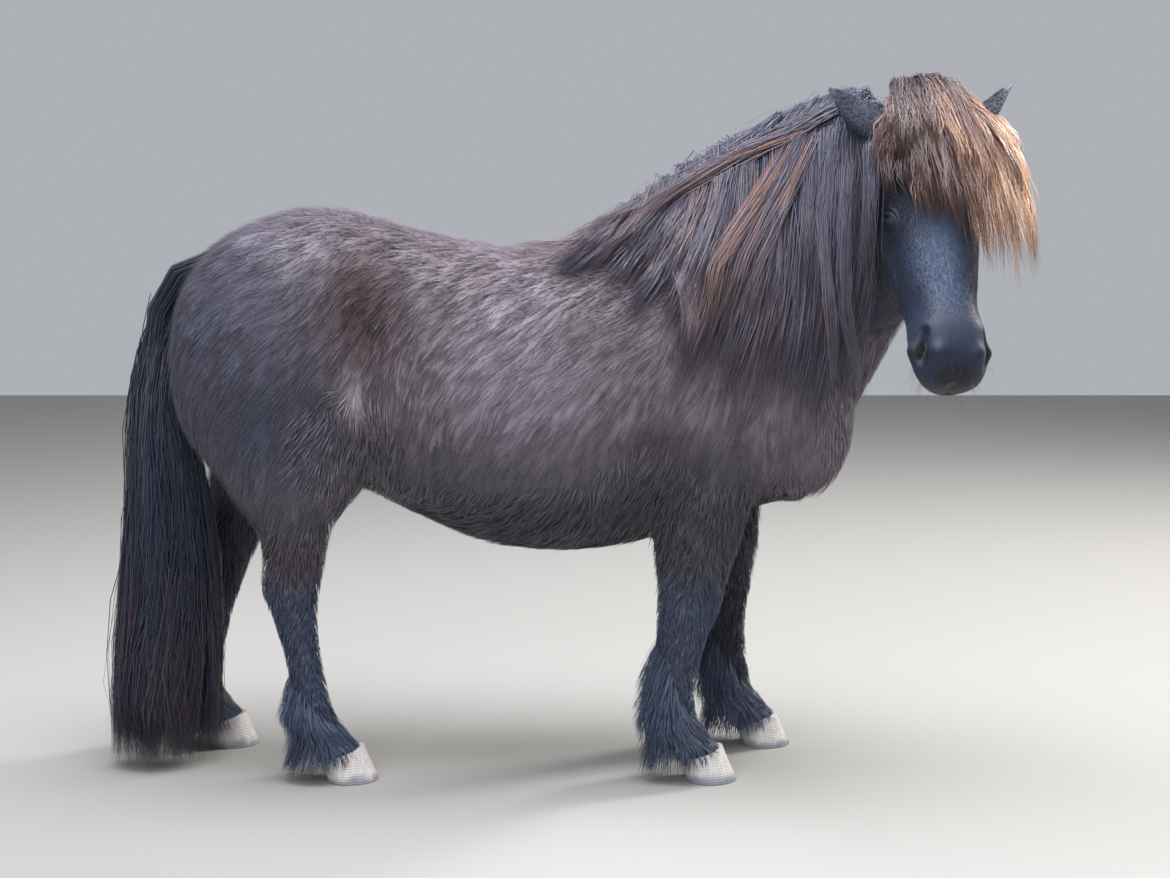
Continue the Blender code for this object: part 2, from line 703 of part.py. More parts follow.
# Ear sections from root to tip: share of the length, half width, depth of the cup, and half of the
# angle that the wall goes round.
EAR = (
    (0.00, 0.026, 0.028, 168.0),
    (0.20, 0.031, 0.026, 142.0),
    (0.45, 0.032, 0.020, 112.0),
    (0.70, 0.024, 0.013, 100.0),
    (0.90, 0.012, 0.008, 95.0),
    (1.00, 0.003, 0.003, 90.0),
)
EAR_WALL, EAR_LENGTH = 0.0045, 0.134
# Each ear in the head's frame: root, which way it points, and which way it opens.
EARS = {
    "right": (Vector((0.014, -0.076, -0.012)), Vector((-0.062, -0.096, 0.052)), Vector((-0.25, -0.30, -1.00))),
    "left": (Vector((0.0135, 0.082, -0.004)), Vector((-0.090, 0.066, 0.052)), Vector((0.10, 1.00, -0.35))),
}


def ear(name, root, aim, opening):
    """A cupped leaf, open to one side, whose wall is as thick as a real ear's."""
    aim = aim.normalized()
    front = (opening - aim * opening.dot(aim)).normalized()
    side_way = aim.cross(front)
    frame = head_frame()
    rings = []
    for share, half, cup, wall in curve_through(EAR, 1):
        turn = np.radians(np.linspace(-wall, wall, 8))
        thick = min(EAR_WALL, 0.6 * cup)
        outer = [(-math.cos(t) * cup, math.sin(t) * half) for t in turn]
        inner = [(-math.cos(t) * (cup - thick), math.sin(t) * (half - thick)) for t in turn[::-1]]
        lean = 0.010 * math.sin(share * math.pi / 2) ** 2
        middle = root + aim * (EAR_LENGTH * (share - 0.18)) + front * (lean - 0.3 * cup)
        rings.append([frame @ (middle + front * a + side_way * b) for a, b in outer + inner])
    bm = bmesh.new()
    loft(bm, rings)
    bmesh.ops.triangulate(bm, faces=bm.faces)
    bmesh.ops.recalc_face_normals(bm, faces=bm.faces)
    mesh = bpy.data.meshes.new(name)
    bm.to_mesh(mesh)
    bm.free()
    return new_object(name, mesh)


def lock(places, faces, width, thickness, root=0.70):
    """A flat tapered lock along places, with a low ridge towards faces, as a closed mesh."""
    bm = bmesh.new()
    rings = []
    for i, place in enumerate(places[:-1]):
        share = np.interp(i / (len(places) - 1), (0.0, 0.3, 0.6, 1.0), (root, 1.0, 0.94, 0.20))
        along = places[i + 1] - places[max(i - 1, 0)]
        side = along.cross(faces[i]).normalized()
        out = side.cross(along).normalized()
        half, deep = width * share / 2, thickness * share / 2
        edge = place - out * deep
        rings.append([bm.verts.new(p) for p in (edge - side * half, place + out * deep, edge + side * half)])
    tip = bm.verts.new(places[-1])
    for low, high in zip(rings, rings[1:]):
        for i in range(3):
            bm.faces.new((low[i], low[i - 2], high[i - 2], high[i]))
    for i in range(3):
        bm.faces.new((rings[-1][i], rings[-1][i - 2], tip))
    bm.faces.new(rings[0][::-1])
    bmesh.ops.triangulate(bm, faces=bm.faces)
    bmesh.ops.recalc_face_normals(bm, faces=bm.faces)
    mesh = bpy.data.meshes.new("lock")
    bm.to_mesh(mesh)
    bm.free()
    return mesh


def grow(node, locks):
    """Joins locks to the node that they grow from."""
    bunch = bpy.data.collections.new("bunch")
    bpy.context.scene.collection.children.link(bunch)
    for mesh in locks:
        bunch.objects.link(bpy.data.objects.new("lock", mesh))
    boolean(node, "UNION", bunch)
    for obj in list(bunch.objects):
        remove(obj)
    bpy.data.collections.remove(bunch)
    return keep_largest(node)


def guide(rows, share):
    """A row between the given ones, at a share of the way through them."""
    at = share * (len(rows) - 1)
    low = min(int(at), len(rows) - 2)
    return [a + (b - a) * (at - low) for a, b in zip(rows[low], rows[low + 1])]


def crest_at(x):
    crest = np.array([row[0] for row in NECK])
    return Vector((x, np.interp(x, crest[:, 0], crest[:, 1]), np.interp(x, crest[:, 0], crest[:, 2])))


def on_side(tree, x, z, lift):
    """The point on the right side of the flesh at X and Z, lifted off it, and the way out of it."""
    hit, normal, _, _ = tree.ray_cast(Vector((x, -1.0, z)), Vector((0.0, 1.0, 0.0)))
    if hit is None:
        hit, normal = Vector((x, crest_at(x).y, z)), Vector((0.0, -1.0, 0.0))
    return hit + normal * lift, normal


def crest_face(x):
    """The way up out of the crest, square to its slope."""
    slope = crest_at(x + 0.02) - crest_at(x - 0.02)
    return Vector((-slope.z, 0.0, slope.x)).normalized()


def mane(flesh_below, rng):
    """Locks that rise from the crest, turn over to the right and hang down over the neck."""
    tree = BVHTree.FromObject(flesh_below, bpy.context.evaluated_depsgraph_get())
    rows = [(root, *end) for root, end in MANE]
    for count, across, rise, lift, length in MANE_LAYERS:
        for i in range(count):
            share = (i + rng.uniform(0.4, 0.6)) / count
            root, end_x, end_z = guide(rows, share)
            crest, upward = crest_at(root), crest_face(root)
            reach = length * rng.uniform(0.94, 1.05)
            start = Vector((root - 0.014, crest.z - 0.006))
            end = start + (Vector((end_x, end_z)) - start) * reach
            bend = start.lerp(end, 0.45) + Vector((0.020 + 0.020 * share, 0.0))
            places = [crest + Vector((0.0, across + 0.010, -0.030))]
            places.append(crest + Vector((-0.008, across - 0.008, 0.0)) + upward * (rise * (0.7 + 0.55 * share)))
            faces = [upward, upward]
            for t in (0.18, 0.45, 0.74, 1.0):
                at = start.lerp(bend, t).lerp(bend.lerp(end, t), t)
                place, face = on_side(tree, at.x + rng.uniform(-0.003, 0.003), at.y, lift * (1.15 - 0.4 * t))
                places.append(place)
                faces.append(face)
            slope = Vector((upward.z, 0.0, -upward.x))
            faces[0] = faces[1] = (places[2] - places[0]).cross(slope)
            yield lock(places, faces, MANE_WIDTH * rng.uniform(0.92, 1.05), MANE_THICKNESS)
    for i in range(FAR_LOCKS):
        root = 0.08 + 0.40 * (i + 0.5) / FAR_LOCKS
        crest, upward = crest_at(root), crest_face(root)
        places, faces = [crest + Vector((0.0, -0.012, -0.030))], [upward]
        for t, out in ((0.0, 0.026), (0.35, 0.060), (0.7, 0.083), (1.0, 0.096)):
            drop = FAR_LENGTH * (0.7 + 0.5 * i / FAR_LOCKS) * t
            places.append(crest + Vector((-0.010 - 0.4 * drop, out, 0.026 - drop)))
            faces.append(Vector((0.0, 0.3 + t, 1.0 - 0.8 * t)))
        yield lock(places, faces, MANE_WIDTH * 1.1, MANE_THICKNESS)


def forelock(rng):
    """Locks that rise from the poll and fall over the forehead, most of them to the left."""
    frame = head_frame()
    rows = [(root, *end) for root, end in FORELOCK]
    for count, behind, rise, lift, length in FORELOCK_LAYERS:
        for i in range(count):
            share = (i + rng.uniform(0.4, 0.6)) / count
            root, x, y, z = guide(rows, share)
            over = Vector((behind - 0.012, 1.3 * root, rise))
            end = Vector((x * length * rng.uniform(0.93, 1.05), y, z + lift))
            bend = Vector((0.34 * x, 1.22 * y, 0.058 + lift - 0.24 * abs(y)))
            places = [Vector((max(behind + 0.008, -0.010), 0.9 * root, -0.018)), over]
            places += [over.lerp(bend, t).lerp(bend.lerp(end, t), t) for t in (0.30, 0.56, 0.80, 1.0)]
            faces = [Vector((-0.5, 0.0, 1.0)), Vector((-0.3, 0.0, 1.0))]
            faces += [Vector((0.0, 4.0 * p.y, 0.6)) for p in places[2:]]
            turned = [frame.to_3x3() @ face for face in faces]
            width = FORELOCK_WIDTH * rng.uniform(0.9, 1.05)
            yield lock([frame @ p for p in places], turned, width, FORELOCK_THICKNESS, 0.35)


def tail_at(z, turn, share):
    """A point of the tail's bush at a height, round its middle."""
    rows = np.array(TAIL)[::-1]
    x, y, length, width = (np.interp(z, rows[:, 0], rows[:, k]) for k in (1, 2, 3, 4))
    return Vector((x + length * share * math.cos(turn), y + width * share * math.sin(turn), z))


def tail(rng):
    """Locks that leave the dock at its sides and back and hang to just above the ground."""
    for count, share, high, low in TAIL_LAYERS:
        for i in range(count):
            turn = 2 * math.pi * (i + rng.uniform(0.25, 0.75)) / count
            behind = (1 - math.cos(turn)) / 2
            root = low + (high - low) * behind * rng.uniform(0.9, 1.0)
            tip = TAIL_TIP + 0.07 * rng.random() ** 2
            dock = dock_at(root)
            places, faces = [dock], [Vector((math.cos(turn), math.sin(turn), 0.4))]
            sway = rng.uniform(0.0, 6.3)
            for k, t in enumerate((0.14, 0.36, 0.60, 0.82, 1.0)):
                z = root - (root - tip) * t
                place = tail_at(z, turn + 0.12 * math.sin(5 * t + sway), share * (1.0 if k < 4 else 0.86))
                if k == 0:
                    place = place.lerp(Vector((dock.x, dock.y, z)), 0.25)
                places.append(place)
                faces.append(Vector((math.cos(turn), math.sin(turn), 0.0)))
            yield lock(places, faces, TAIL_WIDTH * rng.uniform(0.9, 1.05), TAIL_THICKNESS, 0.40)


def dock_at(z):
    rows = np.array([(height, -behind) for behind, height in DOCK])[::-1]
    return Vector((np.interp(z, rows[:, 0], rows[:, 1]), -0.010, z))


def dock():
    """The bone of the tail, which starts inside the rump."""
    rows = [(-behind, -0.010 * min(i, 1), z, 0.030 - 0.005 * i) for i, (behind, z) in enumerate(DOCK)]
    points = curve_through(rows, 2)
    rings = []
    for i, (x, y, z, radius) in enumerate(points):
        along = Vector(points[min(i + 1, len(points) - 1)][:3]) - Vector(points[max(i - 1, 0)][:3])
        turn = along.to_track_quat("Z", "Y")
        across, up = oval(10)
        rings.append([Vector((x, y, z)) + turn @ Vector((radius * a, radius * u, 0.0)) for a, u in zip(across, up)])
    bm = bmesh.new()
    loft(bm, rings)
    bmesh.ops.recalc_face_normals(bm, faces=bm.faces)
    mesh = bpy.data.meshes.new("tail")
    bm.to_mesh(mesh)
    bm.free()
    return new_object("tail", mesh)


def feather(leg, rng):
    """Locks from the back and sides of the cannon down over the heel."""
    heights = np.array([row[1] for row in leg["rows"]])[::-1]
    forward = np.array(leg["forward"])[::-1]
    for i in range(FEATHER):
        turn = math.radians(180 + 150 * ((i + 0.5) / FEATHER - 0.5))
        behind = -math.cos(turn)
        away = Vector((math.cos(turn), math.sin(turn), 0.0))
        root = 0.130 + 0.095 * behind + rng.uniform(-0.010, 0.010)
        tip = 0.086 - 0.072 * behind + rng.uniform(0.0, 0.010)
        places = []
        for t, out in ((0.0, 0.016), (0.30, 0.043), (0.60, 0.058), (0.82, 0.066), (1.0, 0.070)):
            z = root - (root - tip) * t
            middle = Vector((np.interp(max(z, 0.085), heights, forward), leg["side"] * LEG_Y, z))
            places.append(middle + away * out)
        yield lock(places, [away] * 5, FEATHER_WIDTH * rng.uniform(0.9, 1.1), FEATHER_THICKNESS)


def set_in(nodes):
    """Seats the eyes in sockets and stands the ears on the head, face to face."""
    for side, word in ((-1, "right"), (1, "left")):
        eye = eyeball("eye_" + word, side)
        boolean(nodes["head"], "DIFFERENCE", swollen(eye, "socket_" + word, GAP))
        open_lids(nodes["head"], side)
        nodes[eye.name] = eye
        leaf = ear("ear_" + word, *EARS[word])
        boolean(leaf, "DIFFERENCE", swollen(nodes["head"], "seat_" + word))
        nodes[leaf.name] = keep_largest(leaf)
    keep_largest(nodes["head"])


def clear_of(node, others):
    """Cuts a node clear of its neighbours, and drops what that leaves loose."""
    for other in others:
        cutter = swollen(other, "clear_" + other.name)
        boolean(node, "DIFFERENCE", cutter)
        remove(cutter)
    return keep_largest(node)


def main():
    clear_scene()
    rng = {kind: random.Random(seed) for kind, seed in SEEDS.items()}
    legs = [leg_rings(leg) for leg in LEGS.values()]
    body = flesh("body", 0.0075, 24, [torso_rings(), neck_rings(), *legs])
    stroke(body, BODY_STROKES)
    smooth_body = copy_of(body, "smooth_body")
    thinned(body, 2600)
    head = flesh("head_clay", 0.0035, 10, [neck_rings(), head_rings()])
    stroke(head, HEAD_STROKES, head_frame(), HEAD_LINES)
    thinned(head, 3100)
    nodes = part_flesh(body, head)
    remove(body)
    for name, leg in LEGS.items():
        nodes["hoof_" + name] = hoof("hoof_" + name, leg)
    set_in(nodes)
    ears = [nodes["ear_right"], nodes["ear_left"]]
    grow(nodes["head"], forelock(rng["forelock"]))
    clear_of(nodes["head"], ears)
    grow(nodes["neck"], mane(smooth_body, rng["mane"]))
    clear_of(nodes["neck"], [*ears, nodes["head"], nodes["torso"]])
    nodes["tail"] = clear_of(grow(dock(), tail(rng["tail"])), [nodes["torso"]])
    for name, leg in LEGS.items():
        lower = grow(nodes["leg_lower_" + name], feather(leg, rng["feather"]))
        clear_of(lower, [nodes["hoof_" + name]])
    remove(smooth_body)
    for name, obj in nodes.items():
        settle(obj)
        kind = name.split("_")[0]
        paint(obj, {"neck": "mane", "tail": "tail", "hoof": "hoof", "eye": "eye"}.get(kind, "coat"))
        obj.location = STAND
    for cutter in list(bpy.data.collections[CUTTERS].objects):
        remove(cutter)


main()
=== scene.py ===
"""Finishes the Shetland pony: one skin, a winter coat in tufts, mane, forelock, tail, feather, eyes, hooves.

Places are worked out in the drawing frame, in metres: +X towards the breast, +Y to the pony's left,
+Z up, with X = 0 under the back. STAND carries them into the model's frame.
"""

import math

import bmesh
import bpy
import numpy as np
from mathutils import Matrix, Vector
from mathutils.bvhtree import BVHTree
from mathutils.kdtree import KDTree


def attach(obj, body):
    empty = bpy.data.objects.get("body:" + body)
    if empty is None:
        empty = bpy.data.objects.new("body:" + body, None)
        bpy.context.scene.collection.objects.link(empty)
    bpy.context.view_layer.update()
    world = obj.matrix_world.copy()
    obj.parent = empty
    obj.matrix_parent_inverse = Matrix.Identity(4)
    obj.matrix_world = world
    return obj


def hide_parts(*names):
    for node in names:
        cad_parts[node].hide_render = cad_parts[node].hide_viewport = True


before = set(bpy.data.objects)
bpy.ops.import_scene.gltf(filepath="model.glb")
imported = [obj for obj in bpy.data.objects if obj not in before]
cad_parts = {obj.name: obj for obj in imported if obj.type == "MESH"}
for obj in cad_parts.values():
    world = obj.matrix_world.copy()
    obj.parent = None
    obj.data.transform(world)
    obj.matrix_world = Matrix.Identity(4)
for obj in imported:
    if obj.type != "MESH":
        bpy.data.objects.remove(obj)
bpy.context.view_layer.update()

bl_info = {
    "name": "Shetland Pony",
    "version": (1, 0, 0),
    "blender": (4, 5, 0),
    "location": "3D View > Sidebar > Pony",
    "description": "Gives the modelled pony its skin, coat, mane, tail, eyes and hooves",
    "category": "Object",
}

STAND = Vector((0.052, 0.071, 0.0))

# Torso sections along X: place, height of the back, height of the belly, half width, height of the
# widest level as a share of the depth, and squareness.
TORSO = (
    (-0.738, 0.79, 0.65, 0.045, 0.5, 2.0),
    (-0.722, 0.85, 0.6, 0.095, 0.5, 2.1),
    (-0.68, 0.918, 0.555, 0.145, 0.5, 2.2),
    (-0.6, 0.972, 0.52, 0.185, 0.5, 2.2),
    (-0.5, 1.003, 0.515, 0.21, 0.5, 2.2),
    (-0.4, 1.0, 0.5, 0.215, 0.5, 2.1),
    (-0.3, 0.972, 0.455, 0.225, 0.46, 2.1),
    (-0.2, 0.946, 0.413, 0.244, 0.44, 2.1),
    (-0.1, 0.934, 0.393, 0.252, 0.43, 2.1),
    (0.0, 0.936, 0.391, 0.248, 0.43, 2.1),
    (0.1, 0.95, 0.408, 0.23, 0.43, 2.1),
    (0.2, 0.95, 0.44, 0.205, 0.42, 2.1),
    (0.3, 0.9, 0.465, 0.185, 0.42, 2.1),
    (0.38, 0.84, 0.49, 0.165, 0.45, 2.2),
    (0.44, 0.77, 0.525, 0.125, 0.48, 2.2),
    (0.474, 0.71, 0.57, 0.065, 0.5, 2.0),
)

# Neck sections: point on the crest, point on the underside, and half width.
NECK = (
    ((0.0, 0.0, 0.925), (0.33, 0.0, 0.53), 0.125),
    ((0.12, 0.0, 0.992), (0.44, 0.0, 0.59), 0.132),
    ((0.23, -0.003, 1.062), (0.5, -0.008, 0.68), 0.122),
    ((0.34, -0.025, 1.118), (0.548, -0.035, 0.77), 0.11),
    ((0.44, -0.062, 1.15), (0.59, -0.07, 0.85), 0.1),
    ((0.525, -0.11, 1.158), (0.612, -0.11, 0.915), 0.09),
    ((0.572, -0.165, 1.135), (0.616, -0.16, 0.95), 0.074),
)

# The head hangs from the poll. Turn to the right, droop of the face line and tilt, in degrees.
POLL = Vector((0.568, -0.15, 1.13))
HEAD_TURN, HEAD_DROOP, HEAD_TILT = 80.0, 53.0, -3.0

# Head sections in the head's own frame, x from the poll to the lips and z out of the forehead:
# place, face line, underline, half width at the brow, at the cheek and at the jaw.
HEAD = (
    (-0.045, -0.03, -0.125, 0.045, 0.05, 0.04),
    (0.0, 0.0, -0.175, 0.071, 0.072, 0.05),
    (0.05, 0.014, -0.208, 0.087, 0.085, 0.057),
    (0.105, 0.021, -0.222, 0.095, 0.092, 0.06),
    (0.165, 0.018, -0.214, 0.096, 0.088, 0.056),
    (0.225, 0.006, -0.186, 0.084, 0.077, 0.05),
    (0.285, -0.006, -0.158, 0.07, 0.068, 0.046),
    (0.345, -0.013, -0.142, 0.061, 0.063, 0.043),
    (0.395, -0.016, -0.138, 0.062, 0.066, 0.044),
    (0.432, -0.028, -0.134, 0.06, 0.063, 0.042),
    (0.457, -0.054, -0.122, 0.044, 0.049, 0.032),
    (0.466, -0.074, -0.108, 0.02, 0.026, 0.018),
)

EYE = Vector((0.1783, 0.0712, -0.0298))
EYE_BALL, EYE_SINK = 0.0165, 0.003
EYE_LOOK = Vector((0.14, 0.86, 0.5))
LID_LINE = Vector((0.82, 0.0, 0.57))

# Leg sections from the top down: height, half length fore and aft, half width.
FORE_LEG = (
    (0.6, 0.11, 0.072),
    (0.5, 0.094, 0.066),
    (0.42, 0.079, 0.057),
    (0.35, 0.062, 0.049),
    (0.3, 0.058, 0.05),
    (0.26, 0.049, 0.043),
    (0.19, 0.041, 0.037),
    (0.13, 0.042, 0.038),
    (0.098, 0.049, 0.044),
    (0.072, 0.047, 0.042),
    (0.048, 0.047, 0.043),
    (0.015, 0.044, 0.041),
)
HIND_LEG = (
    (0.64, 0.15, 0.08),
    (0.52, 0.112, 0.072),
    (0.44, 0.07, 0.056),
    (0.39, 0.057, 0.046),
    (0.345, 0.056, 0.04),
    (0.3, 0.044, 0.037),
    (0.22, 0.035, 0.031),
    (0.14, 0.036, 0.032),
    (0.105, 0.043, 0.038),
    (0.075, 0.04, 0.036),
    (0.048, 0.045, 0.042),
    (0.015, 0.045, 0.042),
)
LEG_Y = 0.12
# Each leg: its side (1 is the pony's left), its rows, and how far forward its sections stand.
LEGS = {
    "fore_right": (-1, FORE_LEG, (0.205, 0.2, 0.194, 0.186, 0.18, 0.17, 0.158, 0.153, 0.155, 0.171, 0.197, 0.212)),
    "fore_left": (1, FORE_LEG, (0.215, 0.232, 0.248, 0.254, 0.254, 0.254, 0.262, 0.268, 0.272, 0.29, 0.314, 0.33)),
    "hind_right": (
        -1, HIND_LEG,
        (-0.5, -0.52, -0.505, -0.503, -0.512, -0.507, -0.492, -0.478, -0.472, -0.455, -0.431, -0.416),
    ),
    "hind_left": (
        1, HIND_LEG,
        (-0.52, -0.59, -0.64, -0.655, -0.676, -0.682, -0.698, -0.714, -0.717, -0.703, -0.681, -0.667),
    ),
}
HOOF_HEIGHT, HOOF_SLOPE = 0.046, 16.0
SOLE_LENGTH, SOLE_WIDTH, HOOF_FLARE = 0.05, 0.046, 0.88

# Masses of muscle, alike on both sides: middle, radii.
MASSES = {
    "haunch": ((-0.545, 0.112, 0.73), (0.175, 0.108, 0.24)),
    "thigh": ((-0.5, 0.128, 0.59), (0.13, 0.088, 0.16)),
    "shoulder": ((0.265, 0.108, 0.7), (0.155, 0.092, 0.21)),
    "breast": ((0.37, 0.062, 0.61), (0.098, 0.09, 0.13)),
}

# Dips and swellings pressed into the flesh: middle, reach, and depth (a swelling is negative).
BODY_STROKES = {
    "flank hollow": ((-0.37, 0.225, 0.8), 0.075, 0.016),
    "stifle fold": ((-0.405, 0.2, 0.56), 0.05, 0.014),
    "loin": ((-0.33, 0.0, 0.985), 0.07, 0.004),
    "behind the elbow": ((0.095, 0.19, 0.48), 0.05, 0.01),
    "breast cleft": ((0.462, 0.0, 0.59), 0.03, 0.014),
    "buttock cleft": ((-0.735, 0.0, 0.69), 0.045, 0.02),
}
HEAD_STROKES = {
    "lids": ((0.18, 0.085, -0.022), 0.02, -0.008),
    "hollow above the eye": ((0.122, 0.078, 0.004), 0.018, 0.006),
    "brow": ((0.158, 0.08, 0.002), 0.014, -0.005),
    "under the eye": ((0.21, 0.086, -0.048), 0.015, 0.0045),
    "cheek muscle": ((0.1, 0.088, -0.135), 0.055, -0.008),
    "front of the cheek": ((0.23, 0.08, -0.12), 0.03, 0.011),
    "side of the nose": ((0.33, 0.06, -0.04), 0.03, 0.004),
    "outer nostril rim": ((0.41, 0.064, -0.066), 0.013, -0.0075),
    "inner nostril rim": ((0.43, 0.033, -0.036), 0.013, -0.0075),
    "false nostril": ((0.392, 0.052, -0.03), 0.014, -0.004),
    "upper lip": ((0.448, 0.022, -0.086), 0.02, -0.005),
    "lip groove": ((0.464, 0.0, -0.082), 0.008, 0.003),
    "chin": ((0.408, 0.0, -0.14), 0.022, -0.008),
    "chin groove": ((0.35, 0.0, -0.146), 0.022, 0.008),
    "between the jaws": ((0.16, 0.0, -0.214), 0.03, 0.012),
}
# Lines pressed into the head: points, reach, depth.
NOSTRIL = ((0.395, 0.052, -0.036), (0.414, 0.057, -0.046), (0.43, 0.054, -0.06), (0.436, 0.044, -0.068))
MOUTH = ((0.35, 0.062, -0.108), (0.4, 0.064, -0.108), (0.436, 0.05, -0.106), (0.46, 0.0, -0.104))
HEAD_LINES = (
    (((0.185, 0.094, -0.066), (0.23, 0.08, -0.07), (0.28, 0.068, -0.072)), 0.01, -0.005),
    (NOSTRIL, 0.0075, 0.015),
    (MOUTH, 0.0055, 0.01),
)

# Ear sections from root to tip: share of the length, half width, depth of the cup, and half of the
# angle that the wall goes round.
EAR = (
    (0.0, 0.026, 0.028, 168.0),
    (0.2, 0.031, 0.026, 142.0),
    (0.45, 0.032, 0.02, 112.0),
    (0.7, 0.024, 0.013, 100.0),
    (0.9, 0.012, 0.008, 95.0),
    (1.0, 0.003, 0.003, 90.0),
)
EAR_WALL, EAR_LENGTH = 0.0045, 0.134
EARS = {
    "right": (Vector((0.014, -0.076, -0.012)), Vector((-0.062, -0.096, 0.052)), Vector((-0.25, -0.3, -1.0))),
    "left": (Vector((0.0135, 0.082, -0.004)), Vector((-0.09, 0.066, 0.052)), Vector((0.1, 1.0, -0.35))),
}

# How deep the coat stands on the skin: on the body, the face, the cheek, the muzzle, the lower leg.
DEPTH = {"body": 0.011, "face": 0.003, "cheek": 0.0075, "muzzle": 0.0006, "lower leg": 0.008, "ear": 0.0015}

# The lie of the coat on the body, the same on both sides: place, way (its y is outwards), reach.
LIE = {
    "croup": ((-0.55, 0.05, 1.0), (-1.0, 0.2, -0.15), 0.15),
    "loin": ((-0.25, 0.05, 0.96), (-1.0, 0.25, -0.2), 0.15),
    "back": ((0.05, 0.05, 0.93), (-1.0, 0.35, -0.3), 0.15),
    "withers": ((0.2, 0.05, 0.96), (-0.8, 0.4, -0.6), 0.12),
    "haunch": ((-0.56, 0.2, 0.8), (-0.8, 0.0, -0.6), 0.14),
    "buttock": ((-0.7, 0.1, 0.72), (-0.3, 0.1, -0.95), 0.1),
    "thigh": ((-0.5, 0.2, 0.6), (-0.45, 0.0, -0.9), 0.12),
    "hip": ((-0.38, 0.22, 0.86), (-0.35, 0.15, -0.92), 0.09),
    "flank": ((-0.32, 0.23, 0.7), (0.15, 0.0, -1.0), 0.08),
    "ribs behind": ((-0.2, 0.24, 0.75), (-0.62, 0.0, -0.78), 0.12),
    "ribs": ((0.0, 0.24, 0.72), (-0.8, 0.0, -0.58), 0.14),
    "low ribs": ((0.0, 0.2, 0.5), (-0.45, -0.15, -0.9), 0.12),
    "belly": ((-0.1, 0.06, 0.4), (-0.9, -0.25, -0.3), 0.12),
    "girth": ((0.15, 0.06, 0.43), (-0.8, -0.2, -0.5), 0.1),
    "elbow": ((0.13, 0.2, 0.5), (-0.2, 0.0, -1.0), 0.08),
    "shoulder": ((0.27, 0.2, 0.7), (-0.35, 0.0, -0.95), 0.15),
    "neck": ((0.38, 0.1, 0.9), (-0.4, 0.0, -0.92), 0.14),
    "throat": ((0.56, 0.05, 0.92), (-0.35, 0.0, -0.95), 0.1),
    "breast": ((0.46, 0.05, 0.62), (0.1, 0.05, -1.0), 0.12),
    "fore leg": ((0.2, 0.12, 0.3), (-0.12, 0.0, -1.0), 0.16),
    "hind leg": ((-0.56, 0.12, 0.32), (-0.1, 0.0, -1.0), 0.16),
}
WHORL = Vector((-0.393, 0.21, 0.675))
# The lie of the coat on the head, in its own frame.
HEAD_LIE = {
    "poll": ((0.02, 0.04, 0.01), (-0.4, 0.7, -0.1), 0.05),
    "forehead": ((0.11, 0.02, 0.02), (0.9, 0.3, 0.0), 0.05),
    "temple": ((0.11, 0.09, -0.02), (0.35, 0.2, -0.9), 0.05),
    "bridge": ((0.28, 0.02, 0.0), (1.0, 0.15, -0.05), 0.07),
    "side of the nose": ((0.3, 0.06, -0.07), (0.85, 0.0, -0.5), 0.06),
    "cheek": ((0.12, 0.08, -0.12), (-0.15, 0.0, -1.0), 0.07),
    "jaw": ((0.16, 0.05, -0.2), (-0.3, -0.3, -0.9), 0.06),
    "muzzle": ((0.42, 0.04, -0.05), (0.7, 0.2, -0.7), 0.05),
    "chin": ((0.38, 0.02, -0.14), (0.5, 0.0, -0.85), 0.05),
}

# Mane: where a guide leaves the crest, and where its end lies on the right side.
MANE = (
    (0.05, (-0.055, 0.888)),
    (0.13, (-0.036, 0.882)),
    (0.2, (0.04, 0.85)),
    (0.25, (0.098, 0.79)),
    (0.29, (0.158, 0.705)),
    (0.34, (0.225, 0.665)),
    (0.4, (0.3, 0.635)),
    (0.45, (0.37, 0.61)),
    (0.48, (0.412, 0.625)),
    (0.5, (0.43, 0.68)),
)
# How a guide of the mane arches over the crest: place across, share of the rise, drop, and its way out.
MANE_ARCH = ((0.01, 0.0, 0.022, 0.2, 1.0), (-0.004, 0.55, 0.006, -0.2, 1.0), (-0.022, 0.86, 0.006, -0.6, 0.8))
# Layers of the mane: number of locks, place across the crest, rise, lift off the flesh, length.
MANE_LAYERS = ((24, -0.03, 0.01, 0.01, 1.02), (26, -0.01, 0.028, 0.02, 0.95), (24, 0.014, 0.046, 0.031, 0.82))
# Long hanks that lie over the mane: root, places on the right side, lift, and how red they are.
HANKS = (
    (0.49, ((0.44, 1.125), (0.35, 1.092), (0.24, 1.035), (0.12, 0.955)), 0.04, 0.45),
    (0.47, ((0.4, 1.115), (0.29, 1.07), (0.15, 0.99), (0.06, 0.915)), 0.044, 0.6),
    (0.4, ((0.33, 1.085), (0.18, 1.045), (0.02, 0.95), (-0.075, 0.88)), 0.04, 0.75),
    (0.36, ((0.28, 1.065), (0.13, 1.01), (0.0, 0.925), (-0.06, 0.895)), 0.036, 0.55),
    (0.42, ((0.35, 1.06), (0.28, 0.96), (0.215, 0.85), (0.18, 0.76)), 0.042, 0.8),
    (0.44, ((0.38, 1.05), (0.32, 0.95), (0.27, 0.85), (0.24, 0.77)), 0.043, 0.6),
    (0.47, ((0.43, 1.04), (0.415, 0.9), (0.4, 0.76), (0.405, 0.65)), 0.042, 0.3),
    (0.48, ((0.45, 1.03), (0.44, 0.9), (0.43, 0.77), (0.445, 0.67)), 0.04, 0.1),
)
# A hank that bends out of the shoulder hair: X, Z and lift.
SHOULDER_HANK = (
    (0.2, 0.985, -0.01), (0.172, 0.93, -0.002), (0.156, 0.892, 0.009), (0.162, 0.866, 0.015),
    (0.173, 0.84, 0.016), (0.176, 0.8, 0.014), (0.17, 0.755, 0.01), (0.162, 0.705, 0.004),
)

